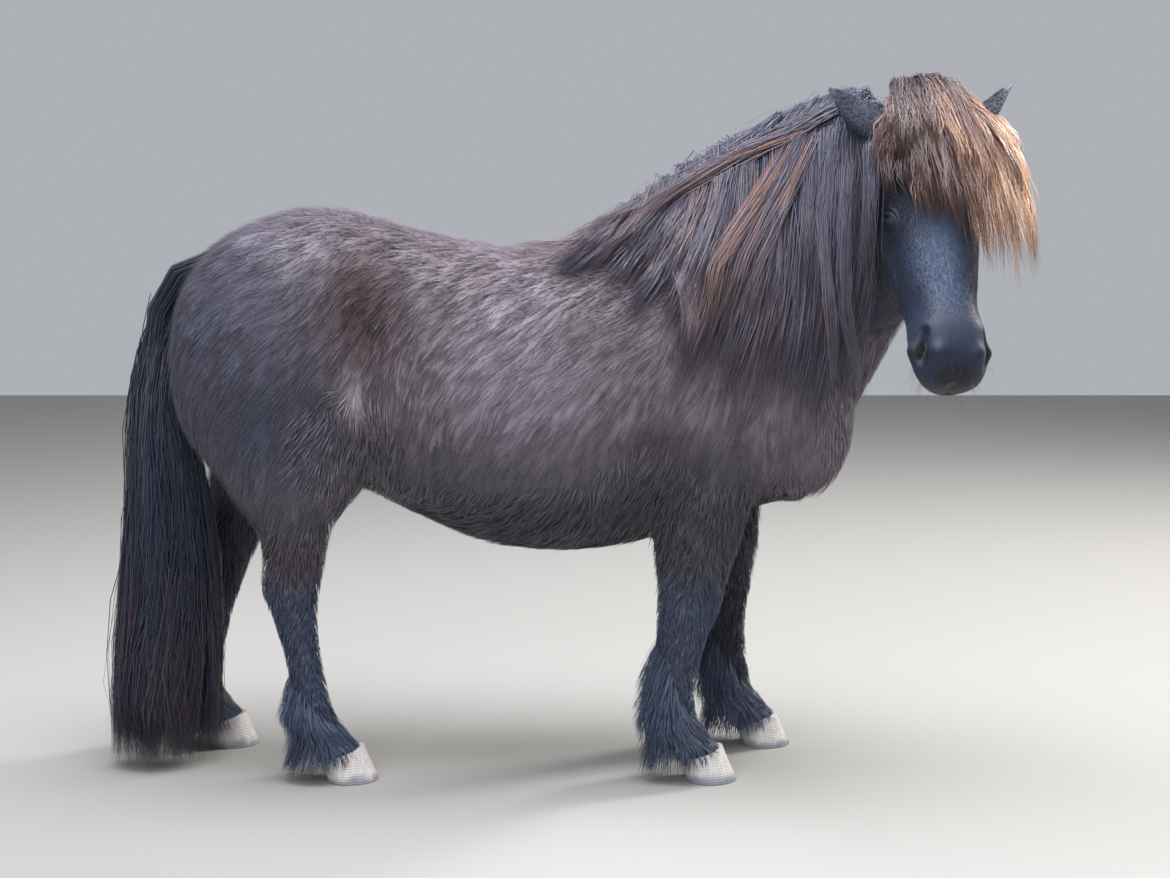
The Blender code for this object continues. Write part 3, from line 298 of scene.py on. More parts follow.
# Forelock: where a guide leaves the poll, and where its end lies in the head's own frame.
FORELOCK = (
    (-0.034, (0.14, -0.104, -0.004)),
    (-0.026, (0.195, -0.076, 0.022)),
    (-0.018, (0.285, -0.05, 0.026)),
    (-0.006, (0.29, -0.032, 0.032)),
    (0.004, (0.316, -0.006, 0.036)),
    (0.014, (0.345, 0.026, 0.034)),
    (0.024, (0.372, 0.056, 0.026)),
    (0.034, (0.375, 0.086, 0.012)),
    (0.042, (0.35, 0.116, 0.002)),
    (0.048, (0.305, 0.14, -0.004)),
    (0.05, (0.25, 0.152, -0.006)),
)
# Layers of the forelock: number of locks, place behind the poll, rise, lift, length.
FORELOCK_LAYERS = (
    (18, 0.016, 0.014, 0.002, 1.0),
    (18, -0.006, 0.025, 0.011, 0.95),
    (16, -0.028, 0.034, 0.019, 0.8),
    (12, -0.056, 0.04, 0.026, 0.58),
)

# Tail sections: height, place, middle across, half length fore and aft, half width.
TAIL = (
    (0.925, -0.715, -0.004, 0.018, 0.022),
    (0.86, -0.75, -0.01, 0.032, 0.036),
    (0.75, -0.764, -0.018, 0.04, 0.048),
    (0.6, -0.756, -0.025, 0.056, 0.056),
    (0.45, -0.742, -0.03, 0.076, 0.062),
    (0.3, -0.742, -0.03, 0.088, 0.064),
    (0.15, -0.751, -0.03, 0.088, 0.064),
    (0.0, -0.758, -0.03, 0.088, 0.062),
)
# The line of the croup and the tail's upper hair, X and Z.
TAIL_TOP = (
    (-0.666, 0.914), (-0.698, 0.908), (-0.731, 0.887), (-0.755, 0.857), (-0.768, 0.815), (-0.776, 0.75),
    (-0.782, 0.66),
)
# The dock from the croup down: how far behind, and height.
DOCK = ((0.69, 0.866), (0.722, 0.852), (0.744, 0.815), (0.758, 0.74), (0.758, 0.66))
# Layers of the tail: guides, share of its half thickness, highest and lowest root.
TAIL_LAYERS = ((8, 0.3, 0.8, 0.69), (14, 0.64, 0.85, 0.74), (20, 0.88, 0.88, 0.8), (20, 1.02, 0.9, 0.83))

SIDES = {"right": -1, "left": 1}

# Finished sizes: the skin's voxel, hair strands for each guide, feather for each leg.
SKIN_VOXEL = 0.0031
SKIN_TRIANGLES, CHART_TRIANGLES = 150000, 9000
FORELOCK_STRANDS = 48
TAIL_STRANDS = 40
FEATHER_STRANDS = 1900
LASHES, WHISKERS = 70, 90
CREST_GUIDES, FAR_GUIDES, TAIL_TOP_GUIDES = 26, 22, 16
TUFTS_A_CLUMP = 12
# How flat a strand is, how a long strand's places crowd to its root, and the bake map's patch for it.
FLAT, MANE_BUNCHED, TAIL_BUNCHED = 0.5, 1.9, 1.15
HAIR_PATCH = (0.003, 0.006)
FULL_TURN = 6.28
TAIL_Y = -0.01
LASH_WIDTH, WHISKER_WIDTH, FORELOCK_WIDTH, TAIL_WIDTH, FEATHER_WIDTH = 0.0006, 0.00045, 0.0016, 0.0023, 0.0016

CAMERA, CAMERA_DROOP, SENSOR = Vector((0.0, -3.4, 0.95)), 6.1, 36.0
LENS = SENSOR * 1915 / 1170
# Each light: where it stands, what it looks at, its size and its colour.
LIGHTS = {
    "sky": ((0.3, -0.4, 4.4), (0.1, 0.0, 0.6), 3.4, (0.95, 0.97, 1.0)),
    "sun": ((3.6, 2.2, 3.4), (0.3, 0.0, 0.8), 0.9, (1.0, 0.94, 0.86)),
    "fill": ((-1.2, -4.6, 2.9), (0.0, 0.0, 0.6), 3.0, (0.95, 0.97, 1.0)),
}

WORK = {}


def tint(name, text, value):
    return bpy.props.FloatVectorProperty(name=name, description=text, default=value, min=0.0, max=1.0, subtype="COLOR")


def measure(name, text, value, least):
    return bpy.props.FloatProperty(name=name, description=text, default=value, min=least, unit="LENGTH")


def watts(name, text, value):
    return bpy.props.FloatProperty(name=name, description=text, default=value, min=0.0, unit="POWER")


class PonyCoat(bpy.types.PropertyGroup):
    """Sizes and colours of the short coat"""

    tufts: bpy.props.IntProperty(name="Tufts", description="Tufts over the whole body", default=170000, min=1000)
    tuft_length: measure("Tuft length", "Length of a tuft on the ribs", 0.04, 0.005)
    tuft_width: measure("Tuft width", "Width of a tuft on the ribs", 0.0021, 0.0005)
    pale: tint("Pale", "Sunlit lilac grey of the ribs", (0.215, 0.176, 0.212))
    dark: tint("Dark", "Darker hair among it", (0.15, 0.118, 0.138))
    # The haunch's blue is partly a painted sky reflection.
    haunch: tint("Haunch", "Blue-grey of the haunch", (0.08, 0.083, 0.13))
    # The belly's near black is partly painted shade under the body.
    belly: tint("Belly", "Near black along the belly", (0.012, 0.01, 0.016))
    brown: tint("Brown patch", "Old coat before the hip", (0.05, 0.021, 0.023))
    # The blue of the legs, face and muzzle is partly a painted sky reflection.
    legs: tint("Legs", "Blue-black below the knees", (0.039, 0.058, 0.112))
    face: tint("Face", "Blue-black of the head", (0.021, 0.034, 0.074))
    # The bridge colour is a painted highlight: sky sheen down the nose.
    bridge: tint("Bridge", "Worn grey down the nose", (0.135, 0.18, 0.29))
    muzzle: tint("Muzzle", "Slate grey of the muzzle", (0.011, 0.016, 0.034))


class PonyHair(bpy.types.PropertyGroup):
    """Sizes and colours of the mane, forelock, tail and feather"""

    lock_strands: bpy.props.IntProperty(
        name="Strands a lock", description="Strands in each lock of the mane", default=60, min=8
    )
    strand_width: measure("Strand width", "Width of a strand of the mane", 0.0017, 0.0005)
    # The blue of the mane root is partly a painted sky reflection.
    mane_root: tint("Mane root", "Blue-black at the crest", (0.03, 0.04, 0.078))
    mane_tip: tint("Mane tip", "Rust where the sun has faded it", (0.25, 0.148, 0.12))
    forelock_root: tint("Forelock root", "Dark brown at the poll", (0.026, 0.019, 0.028))
    forelock_tip: tint("Forelock tip", "Blond at the left side", (0.72, 0.42, 0.25))
    # The blue of the tail and feather is partly a painted sky reflection.
    tail: tint("Tail", "Blue-black of the tail", (0.004, 0.012, 0.036))
    feather: tint("Feather", "Blue-black of the feather", (0.044, 0.066, 0.126))


class PonyStage(bpy.types.PropertyGroup):
    """Light and floor"""

    floor: tint("Floor", "Colour of the floor", (0.28, 0.275, 0.265))
    sky_power: watts("Top light", "Wide light from above", 430.0)
    sun_power: watts("Side light", "Smaller light high ahead of the pony", 250.0)
    fill_power: watts("Fill light", "Wide light on the camera's side", 160.0)


def deselect():
    for obj in bpy.context.selected_objects:
        obj.select_set(False)


def select(*objects):
    deselect()
    for obj in objects:
        obj.select_set(True)
    bpy.context.view_layer.objects.active = objects[0]


def apply_modifiers(obj):
    select(obj)
    for modifier in list(obj.modifiers):
        bpy.ops.object.modifier_apply(modifier=modifier.name)


def linked(name, data):
    obj = bpy.data.objects.new(name, data)
    bpy.context.scene.collection.objects.link(obj)
    return obj


def named(name):
    """The object that an operator has just made, under its own name."""
    obj = bpy.context.view_layer.objects.active
    obj.name = obj.data.name = name
    return obj


def edit_all():
    """Opens the active object for editing, with all of it selected."""
    bpy.ops.object.mode_set(mode="EDIT")
    bpy.ops.mesh.select_all(action="SELECT")


def melt_and_soften(obj, voxel, rounds):
    """Melts what an object holds into one closed form, and smooths it."""
    melt = obj.modifiers.new("melt", "REMESH")
    melt.mode, melt.voxel_size = "VOXEL", voxel
    soften = obj.modifiers.new("soften", "SMOOTH")
    soften.factor, soften.iterations = 0.5, rounds
    apply_modifiers(obj)


def remove(obj):
    mesh = obj.data
    bpy.data.objects.remove(obj)
    bpy.data.meshes.remove(mesh)


def curve_through(rows, steps):
    """More rows between the given ones, on a smooth curve through them."""
    rows = np.array(rows, float)
    padded = np.vstack([2 * rows[0] - rows[1], rows, 2 * rows[-1] - rows[-2]])
    found = []
    for i in range(len(rows) - 1):
        a, b, c, d = padded[i:i + 4]
        for k in range(steps):
            t = k / steps
            found.append(
                0.5 * (2 * b + (c - a) * t + (2 * a - 5 * b + 4 * c - d) * t**2 + (3 * b - a - 3 * c + d) * t**3)
            )
    return np.array(found + [rows[-1]])


def oval(count, power=2.0):
    turn = 2 * np.pi * np.arange(count) / count
    c, s = np.cos(turn), np.sin(turn)
    return np.sign(c) * np.abs(c) ** (2 / power), np.sign(s) * np.abs(s) ** (2 / power)


def torso_rings(count=56, steps=6):
    for x, top, bottom, half, level, power in curve_through(TORSO, steps):
        across, up = oval(count, power)
        middle = bottom + level * (top - bottom)
        height = np.where(up > 0, (top - middle) * up, (middle - bottom) * up)
        yield [(x, half * a, middle + h) for a, h in zip(across, height)]


def neck_rings(count=48, steps=7):
    rows = curve_through([(*crest, *under, half) for crest, under, half in NECK], steps)
    middles = [(Vector(r[:3]) + Vector(r[3:6])) / 2 for r in rows]
    for i, row in enumerate(rows):
        crest, under, half = Vector(row[:3]), Vector(row[3:6]), row[6]
        along = middles[min(i + 1, len(rows) - 1)] - middles[max(i - 1, 0)]
        side = (crest - under).cross(along).normalized()
        across, up = oval(count, 2.15)
        thin = 1 - 0.28 * np.clip(up, 0, 1) ** 1.5
        yield [middles[i] + side * (half * a * w) + (crest - under) / 2 * u for a, u, w in zip(across, up, thin)]


def head_frame():
    turn = Matrix.Rotation(math.radians(-HEAD_TURN), 4, "Z")
    tilt = Matrix.Rotation(math.radians(HEAD_TILT), 4, "X")
    droop = Matrix.Rotation(math.radians(HEAD_DROOP), 4, "Y")
    return Matrix.Translation(POLL) @ turn @ tilt @ droop


def head_rings(count=64, steps=8):
    place = head_frame()
    turn = 2 * np.pi * np.arange(count) / count
    down = (1 - np.sin(turn)) / 2
    for x, top, bottom, brow, cheek, jaw in curve_through(HEAD, steps):
        width = np.interp(down, (0.15, 0.5, 0.9), (brow, cheek, jaw))
        across = np.sign(np.cos(turn)) * np.abs(np.cos(turn)) ** 0.64 * width
        yield [place @ Vector((x, a, top + (bottom - top) * s)) for a, s in zip(across, down)]


def leg_rings(leg, count=32, steps=5):
    side, sections, forward = leg
    rows = [(x, side * LEG_Y, height, length, width) for x, (height, length, width) in zip(forward, sections)]
    across, along = oval(count, 2.1)
    for x, y, z, length, width in curve_through(rows, steps):
        yield [(x + length * f, y + width * a, z) for a, f in zip(across, along)]


def loft(bm, rings):
    """A closed skin through rings of points, each with the same number of points."""
    made = [[bm.verts.new(p) for p in ring] for ring in rings]
    count = len(made[0])
    for low, high in zip(made, made[1:]):
        for i in range(count):
            j = (i + 1) % count
            bm.faces.new((low[i], low[j], high[j], high[i]))
    bm.faces.new(made[0][::-1])
    bm.faces.new(made[-1])


def put_mesh(name, bm):
    """An object of what a bmesh holds, with its faces turned outwards."""
    bmesh.ops.recalc_face_normals(bm, faces=bm.faces)
    mesh = bpy.data.meshes.new(name)
    bm.to_mesh(mesh)
    bm.free()
    return linked(name, mesh)


def melted(name, parts, voxel, rounds, masses=False):
    """One closed form melted from lofts, and softened."""
    bm = bmesh.new()
    for rings in parts:
        loft(bm, list(rings))
    if masses:
        for middle, radii in MASSES.values():
            for side in (-1, 1):
                place = Matrix.Translation((middle[0], side * middle[1], middle[2]))
                scale = Matrix.Diagonal((*radii, 1.0))
                bmesh.ops.create_uvsphere(bm, u_segments=48, v_segments=32, radius=1.0, matrix=place @ scale)
    obj = put_mesh(name, bm)
    melt_and_soften(obj, voxel, rounds)
    return obj


def rows_from(collection, key):
    found = np.empty(len(collection) * 3, np.float32)
    collection.foreach_get(key, found)
    return found.reshape(-1, 3).astype(float)


def points_of(mesh):
    return rows_from(mesh.vertices, "co")


def normals_of(mesh):
    return rows_from(mesh.vertex_normals, "vector")


def put_points(mesh, points):
    mesh.vertices.foreach_set("co", points.astype(np.float32).ravel())
    mesh.update()


def unit(rows):
    return rows / np.maximum(np.linalg.norm(rows, axis=-1, keepdims=True), 1e-9)


def carried(points, matrix):
    matrix = np.array(matrix)
    return points @ matrix[:3, :3].T + matrix[:3, 3]


def in_head(points):
    """Points of the drawing frame in the head's own frame."""
    return carried(points, head_frame().inverted())


def head_share(local):
    """1 on the head, 0 on the neck and body, with a soft edge behind the jaw and the poll."""
    line = np.interp(local[:, 2], (-0.236, 0.0, 0.1), (0.058, -0.03, -0.03))
    inside = (np.abs(local[:, 1]) < 0.125) & (local[:, 2] > -0.26)
    return np.clip((local[:, 0] - line) / 0.02, 0, 1) * inside


def cheek_share(local, below, ahead):
    """1 on the cheek and jaw, from a depth below the face line and behind a place along the head."""
    return np.clip((-local[:, 2] - below) / 0.1, 0, 1) * np.clip((ahead - local[:, 0]) / 0.08, 0, 1)


def reach_of_line(points, line):
    """How far each point lies from a bent line."""
    best = np.full(len(points), 9.0)
    for a, b in zip(np.array(line[:-1]), np.array(line[1:])):
        share = np.clip((points - a) @ (b - a) / ((b - a) @ (b - a)), 0, 1)
        best = np.minimum(best, np.linalg.norm(points - a - share[:, None] * (b - a), axis=1))
    return best


def stroke(mesh, strokes, place=None, lines=()):
    """Presses each named dip or swelling into the surface, alike on both sides."""
    points, normals = points_of(mesh), normals_of(mesh)
    local = in_head(points) if place else points
    depth = np.zeros(len(points))
    for middle, reach, press in strokes.values():
        for side in (-1, 1) if middle[1] else (1,):
            far = np.linalg.norm(local - np.array(middle) * (1, side, 1), axis=1)
            depth += press * np.exp(-((far / reach) ** 2))
    for line, reach, press in lines:
        for side in (-1, 1):
            far = reach_of_line(local, np.array(line) * (1, side, 1))
            fade = np.clip(0.5 + 0.5 * local[:, 1] * side / 0.004, 0, 1)
            depth += press * np.exp(-((far / reach) ** 2)) * fade
    put_points(mesh, points - normals * depth[:, None])


def coat_depth(points):
    """How far the coat stands out from the skin at each point."""
    local = in_head(points)
    head = head_share(local)
    low = np.interp(points[:, 2], (0.045, 0.07, 0.3, 0.42), (0.4, 1.0, 1.0, 1.375)) * DEPTH["lower leg"]
    body = np.where(points[:, 2] < 0.42, low, DEPTH["body"])
    back = cheek_share(local, 0.05, 0.26)
    face = DEPTH["face"] + (DEPTH["cheek"] - DEPTH["face"]) * back
    tip = np.clip((local[:, 0] - 0.3) / 0.08, 0, 1)
    face = face + (DEPTH["muzzle"] - face) * tip
    return body + (face - body) * head


def noise(points, scale, seed, octaves=3):
    """Smooth random values from -1 to 1, from a few crossed waves."""
    rng = np.random.default_rng(seed)
    value = np.zeros(len(points))
    for octave in range(octaves):
        waves = rng.normal(size=(8, 3)) * (2.0**octave) / scale
        phase = rng.uniform(0, 2 * np.pi, 8)
        value += np.cos(points @ waves.T + phase).sum(1) / 8 / 1.6**octave
    return value * 1.4


def new_piece(name, points, triangles, material, bake=None, values=None):
    """A mesh object from rows of points and triangles, smooth, with its bake map and named values."""
    mesh = bpy.data.meshes.new(name)
    count = len(triangles)
    mesh.vertices.add(len(points))
    mesh.vertices.foreach_set("co", (points + np.array(STAND)).astype(np.float32).ravel())
    mesh.loops.add(count * 3)
    mesh.loops.foreach_set("vertex_index", triangles.astype(np.int32).ravel())
    mesh.polygons.add(count)
    mesh.polygons.foreach_set("loop_start", np.arange(0, count * 3, 3, dtype=np.int32))
    mesh.update(calc_edges=True)
    mesh.shade_smooth()
    if bake is not None:
        layer = mesh.uv_layers.new(name="OFBake")
        layer.uv.foreach_set("vector", bake[triangles.ravel()].astype(np.float32).ravel())
    for key, value in (values or {}).items():
        attribute = mesh.attributes.new(key, "FLOAT", "POINT")
        attribute.data.foreach_set("value", value.astype(np.float32))
    obj = linked(name, mesh)
    return finished(obj, material)


def finished(obj, material):
    """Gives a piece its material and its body."""
    obj.data.materials.clear()
    obj.data.materials.append(material)
    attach(obj, "root")
    return obj


def strands(name, paths, faces, widths, thickness, material, roots, tone, red=None, patch=(0.003, 0.003),
            taper=1.0, bunched=1.0):
    """Closed three-sided strands, flat and tapering, one for each row of paths.

    paths is strands x places x 3, faces the way out of the body there, roots the bake map's places, and
    tone and red what the material reads of each strand.
    """
    count, places = paths.shape[:2]
    along = np.gradient(paths, axis=1)
    side = unit(np.cross(along, faces))
    out = unit(np.cross(side, along))
    share = np.linspace(0, 1, places) ** bunched
    profile = (0.75 + 0.25 * np.minimum(share / 0.2, 1)) * (1 - taper * share**2.2 * 0.85)
    half = widths[:, None] * profile[None, :] / 2
    deep = half * thickness
    rows = [
        paths + side * (half * a)[..., None] + out * (deep * b)[..., None]
        for a, b in ((-1.0, -0.5), (0.0, 0.9), (1.0, -0.5))
    ]
    rings = np.stack(rows, 2)[:, :-1]
    ring_count = places - 1
    per = ring_count * 3 + 1
    points = np.concatenate([rings.reshape(count, -1, 3), paths[:, -1:]], 1).reshape(-1, 3)
    faces_one = [(0, 2, 1)]
    for r in range(ring_count - 1):
        for i in range(3):
            j = (i + 1) % 3
            a, b, c, d = 3 * r + i, 3 * r + j, 3 * r + 3 + j, 3 * r + 3 + i
            faces_one += [(a, b, c), (a, c, d)]
    last = 3 * (ring_count - 1)
    faces_one += [(last + i, last + (i + 1) % 3, per - 1) for i in range(3)]
    triangles = (np.array(faces_one)[None] + (np.arange(count) * per)[:, None, None]).reshape(-1, 3)
    level = np.append(np.repeat(share[:-1], 3), 1.0)
    across = np.append(np.tile((-0.5, 0.0, 0.5), ring_count), 0.0)
    bake = roots[:, None] + np.stack([across * patch[0], (level - 0.5) * patch[1]], 1)[None]
    values = {"along": np.tile(level, count), "tone": np.repeat(tone, per)}
    if red is not None:
        values["red"] = np.repeat(red, per)
    bake = np.clip(bake.reshape(-1, 2), 0.001, 0.999)
    return new_piece(name, points, triangles, material, bake, values)


def nearest(tree, points):
    """For each point, the nearest place on a surface, its normal and its face."""
    found = [tree.find_nearest(Vector(p)) for p in points]
    return (np.array([row[k] for row in found]) for k in range(3))


# Materials ------------------------------------------------------------------------------------------


class Graph:
    """Short ways to add and join shader nodes in one tree."""

    def __init__(self, tree):
        self.tree = tree

    def add(self, kind, inputs=None, **settings):
        node = self.tree.nodes.new(kind)
        for key, value in settings.items():
            setattr(node, key, value)
        for key, value in (inputs or {}).items():
            socket = node.inputs[key]
            if isinstance(value, bpy.types.NodeSocket):
                self.tree.links.new(value, socket)
            else:
                socket.default_value = value
        return node

    def math(self, operation, *values):
        return self.add("ShaderNodeMath", dict(enumerate(values)), operation=operation).outputs[0]

    def times(self, a, b):
        return self.math("MULTIPLY", a, b)

    def plus(self, a, b):
        return self.math("ADD", a, b)

    def vector(self, operation, *values):
        return self.add("ShaderNodeVectorMath", dict(enumerate(values)), operation=operation).outputs

    def parts(self, place):
        return self.add("ShaderNodeSeparateXYZ", {0: place}).outputs

    def whole(self, x, y, z):
        return self.add("ShaderNodeCombineXYZ", {0: x, 1: y, 2: z}).outputs[0]

    def mix(self, share, a, b, blend="MIX"):
        inputs = {0: share, 6: a, 7: b}
        return self.add("ShaderNodeMix", inputs, data_type="RGBA", blend_type=blend).outputs[2]

    def attribute(self, name):
        return self.add("ShaderNodeAttribute", attribute_name=name).outputs["Fac"]

    def dimmed(self, colour, value):
        grey = self.add("ShaderNodeCombineColor", {0: value, 1: value, 2: value}).outputs[0]
        return self.mix(1.0, colour, grey, "MULTIPLY")

    def join(self, output, node, name):
        self.tree.links.new(output, node.inputs[name])

    def fix(self, node, values):
        for name, value in values.items():
            node.inputs[name].default_value = value

    def bump(self, shader, height, strength):
        inputs = {"Height": height, "Strength": strength, "Distance": 0.0012}
        self.join(self.add("ShaderNodeBump", inputs).outputs[0], shader, "Normal")

    def sheen(self, shader, specular, weight, rough, tint):
        self.fix(shader, {
            "Specular IOR Level": specular, "Sheen Weight": weight, "Sheen Roughness": rough, "Sheen Tint": rgb(*tint),
        })

    def framed(self, place, matrix):
        """A place in the frame that a matrix stands for."""
        inputs = {"Vector": place, "Location": tuple(matrix.to_translation()), "Rotation": tuple(matrix.to_euler())}
        return self.add("ShaderNodeMapping", inputs, vector_type="TEXTURE").outputs[0]

    def ramp(self, value, low, high):
        """0 at low and 1 at high, smooth between them."""
        inputs = {0: value, 1: low, 2: high, 3: 0.0, 4: 1.0}
        return self.add("ShaderNodeMapRange", inputs, interpolation_type="SMOOTHSTEP").outputs[0]

    def near(self, vector, place, reach, stretch=(1, 1, 1)):
        """1 at a place, falling to 0 at its reach."""
        scaled = self.vector("MULTIPLY", self.vector("SUBTRACT", vector, place)[0], stretch)[0]
        return self.ramp(self.vector("LENGTH", scaled)["Value"], reach, 0.0)

    def noise(self, vector, scale, detail=3.0):
        return self.add("ShaderNodeTexNoise", {"Vector": vector, "Scale": scale, "Detail": detail}).outputs[0]


def rgb(r, g, b):
    return (r, g, b, 1.0)


def new_material(name):
    material = bpy.data.materials.new(name)
    material.use_nodes = True
    material.node_tree.nodes.clear()
    graph = Graph(material.node_tree)
    shader = graph.add("ShaderNodeBsdfPrincipled")
    graph.add("ShaderNodeOutputMaterial", {"Surface": shader.outputs[0]})
    return material, graph, shader


def drawing_place(graph):
    """The place of a shading point in the drawing frame."""
    return graph.vector("SUBTRACT", graph.add("ShaderNodeTexCoord").outputs["Object"], tuple(STAND))[0]


def head_place(graph, place):
    """A place of the drawing frame in the head's own frame, its parts, and it with both sides laid together."""
    head = graph.framed(place, head_frame())
    x, y, z = graph.parts(head)
    width = graph.math("ABSOLUTE", y)
    return head, graph.whole(x, width, z), x, width, z


def marked(graph, place):
    """The coat colour at a place, painted sheen and shade included."""
    return graph.add("ShaderNodeGroup", {0: place}, node_tree=markings_and_painted_light()).outputs[0]


def markings_and_painted_light():
    """The pony's colours over its body, with painted sheen, sky reflection and shade among them, the same for the skin
    and the coat, as a node group.
    """
    group = bpy.data.node_groups.get("markings_and_painted_light")
    if group:
        return group
    group = bpy.data.node_groups.new("markings_and_painted_light", "ShaderNodeTree")
    group.interface.new_socket("Place", in_out="INPUT", socket_type="NodeSocketVector")
    group.interface.new_socket("Colour", in_out="OUTPUT", socket_type="NodeSocketColor")
    g = Graph(group)
    start = g.add("NodeGroupInput").outputs[0]
    x, y, z = g.parts(start)
    outwards = g.math("ABSOLUTE", y)
    place = g.whole(x, outwards, z)
    wide, fine = g.noise(place, 5.0), g.noise(place, 28.0)

    def lay(under, mask, share, colour):
        return g.mix(g.times(mask, share), under, rgb(*colour))

    def spots(under, vector, rows):
        for spot, reach, share, colour, *stretch in rows:
            under = lay(under, g.near(vector, spot, reach, *stretch), share, colour)
        return under

    look = bpy.context.scene.pony_coat
    coat = g.mix(g.ramp(wide, 0.35, 0.65), rgb(*look.dark), rgb(*look.pale))
    coat = lay(coat, g.ramp(fine, 0.45, 0.72), 0.6, (0.104, 0.074, 0.084))
    # Paler on the croup and the ribs, partly a painted sheen of the light from above; darker and bluer on the haunch
    # and the shoulder, the blue partly a painted sky reflection.
    coat = spots(coat, place, (
        ((-0.45, 0.06, 1.01), 0.28, 0.8, (0.175, 0.15, 0.185)),
        ((-0.64, 0.16, 0.8), 0.32, 0.95, look.haunch),
        ((-0.56, 0.2, 0.62), 0.27, 1.0, (0.046, 0.052, 0.088)),
        ((0.2, 0.18, 0.68), 0.26, 0.75, (0.15, 0.125, 0.155)),
        ((-0.14, 0.24, 0.71), 0.2, 0.8, (0.25, 0.208, 0.26)),
    ))
    # Darker on the lower ribs and near black along the belly, partly the coat's own dark and partly painted shade
    # under the body.
    coat = lay(coat, g.times(g.ramp(z, 0.68, 0.54), g.ramp(x, -0.46, -0.34)), 0.85, (0.088, 0.077, 0.102))
    coat = spots(coat, place, (((0.41, 0.08, 0.62), 0.22, 0.85, (0.215, 0.18, 0.205)),))
    ragged = g.plus(z, g.times(g.math("SUBTRACT", fine, 0.5), 0.1))
    body = g.times(g.ramp(x, -0.44, -0.34), g.ramp(x, 0.32, 0.18))
    coat = lay(coat, g.times(g.ramp(ragged, 0.53, 0.45), body), 1.0, look.belly)
    # A warm brown patch before the hip, brown behind the elbow, and a pale whorl in the flank.
    coat = spots(coat, place, (
        ((0.185, 0.17, 0.47), 0.16, 0.9, (0.03, 0.027, 0.04)),
        ((-0.378, 0.215, 0.83), 0.175, 1.0, look.brown, (1.5, 0.5, 0.7)),
        ((0.12, 0.205, 0.6), 0.08, 0.7, (0.048, 0.028, 0.031), (0.7, 0.5, 1.4)),
        ((-0.393, 0.21, 0.665), 0.06, 0.85, (0.38, 0.335, 0.35), (1.4, 0.6, 0.7)),
    ))
    # Blue-black legs, their blue partly a painted sky reflection, brown at the hock, darkest on their inner sides.
    coat = lay(coat, g.ramp(z, 0.54, 0.42), 0.7, (0.058, 0.053, 0.07))
    coat = lay(coat, g.ramp(z, 0.4, 0.31), 1.0, look.legs)
    coat = spots(coat, place, (((-0.5, 0.15, 0.385), 0.075, 0.8, (0.046, 0.026, 0.028)),))
    inner = g.times(g.ramp(outwards, 0.125, 0.095), g.ramp(z, 0.52, 0.43))
    coat = lay(coat, inner, 0.85, (0.008, 0.01, 0.019))
    # The head is blue-black, the blue partly a painted sky reflection, with a painted sheen highlight down the bridge,
    # painted shade on the cheek and jaw, a grey muzzle and near black lips.
    head, both, hx, width, hz = head_place(g, start)
    face = g.mix(g.ramp(fine, 0.4, 0.7), rgb(*look.face), rgb(0.032, 0.034, 0.056))
    face = spots(face, head, (
        # Painted highlight: sky sheen down the bridge.
        ((0.25, -0.012, 0.0), 0.105, 1.0, look.bridge, (0.7, 1.6, 1.0)),
        # Painted shade on the cheek and jaw.
        ((0.12, 0.0, -0.16), 0.12, 0.8, (0.012, 0.018, 0.034), (1.0, 0.0, 1.0)),
    ))
    face = spots(face, both, ((tuple(EYE), 0.06, 1.0, (0.007, 0.01, 0.02), (0.8, 0.7, 1.0)),))
    muzzle = g.ramp(hx, 0.34, 0.41)
    face = lay(face, muzzle, 0.85, look.muzzle)
    lips = g.ramp(g.plus(hz, g.times(fine, 0.012)), -0.1, -0.112)
    edge = g.times(g.ramp(hz, -0.07, -0.088), g.ramp(hz, -0.106, -0.094))
    face = lay(face, g.times(edge, muzzle), 0.8, (0.046, 0.036, 0.044))
    face = lay(face, g.times(lips, muzzle), 0.9, (0.007, 0.008, 0.014))
    ahead = g.ramp(g.plus(hx, g.times(hz, 0.373)), -0.045, -0.015)
    near = g.times(g.ramp(width, 0.145, 0.125), g.ramp(hz, -0.285, -0.262))
    coat = g.mix(g.times(ahead, near), coat, face)
    # Blue-black ears, the blue partly a painted sky reflection.
    ears = g.times(g.ramp(hz, -0.04, -0.015), g.ramp(hx, 0.055, 0.03))
    coat = lay(coat, g.times(ears, g.ramp(hx, -0.12, -0.09)), 1.0, (0.026, 0.034, 0.06))
    g.add("NodeGroupOutput", {0: coat})
    return group


def coat_material():
    """Short hair: the coat colours with their painted sheen and shade, a little darker at its roots, each tuft with a
    tone of its own.
    """
    material, g, shader = new_material("coat")
    root = g.plus(0.7, g.times(g.ramp(g.attribute("along"), 0.0, 0.8), 0.38))
    value = g.times(g.plus(0.5, g.attribute("tone")), root)
    g.join(g.dimmed(marked(g, drawing_place(g)), value), shader, "Base Color")
    g.fix(shader, {"Roughness": 0.45})
    g.sheen(shader, 0.5, 0.2, 0.45, (0.8, 0.76, 0.9))
    return material


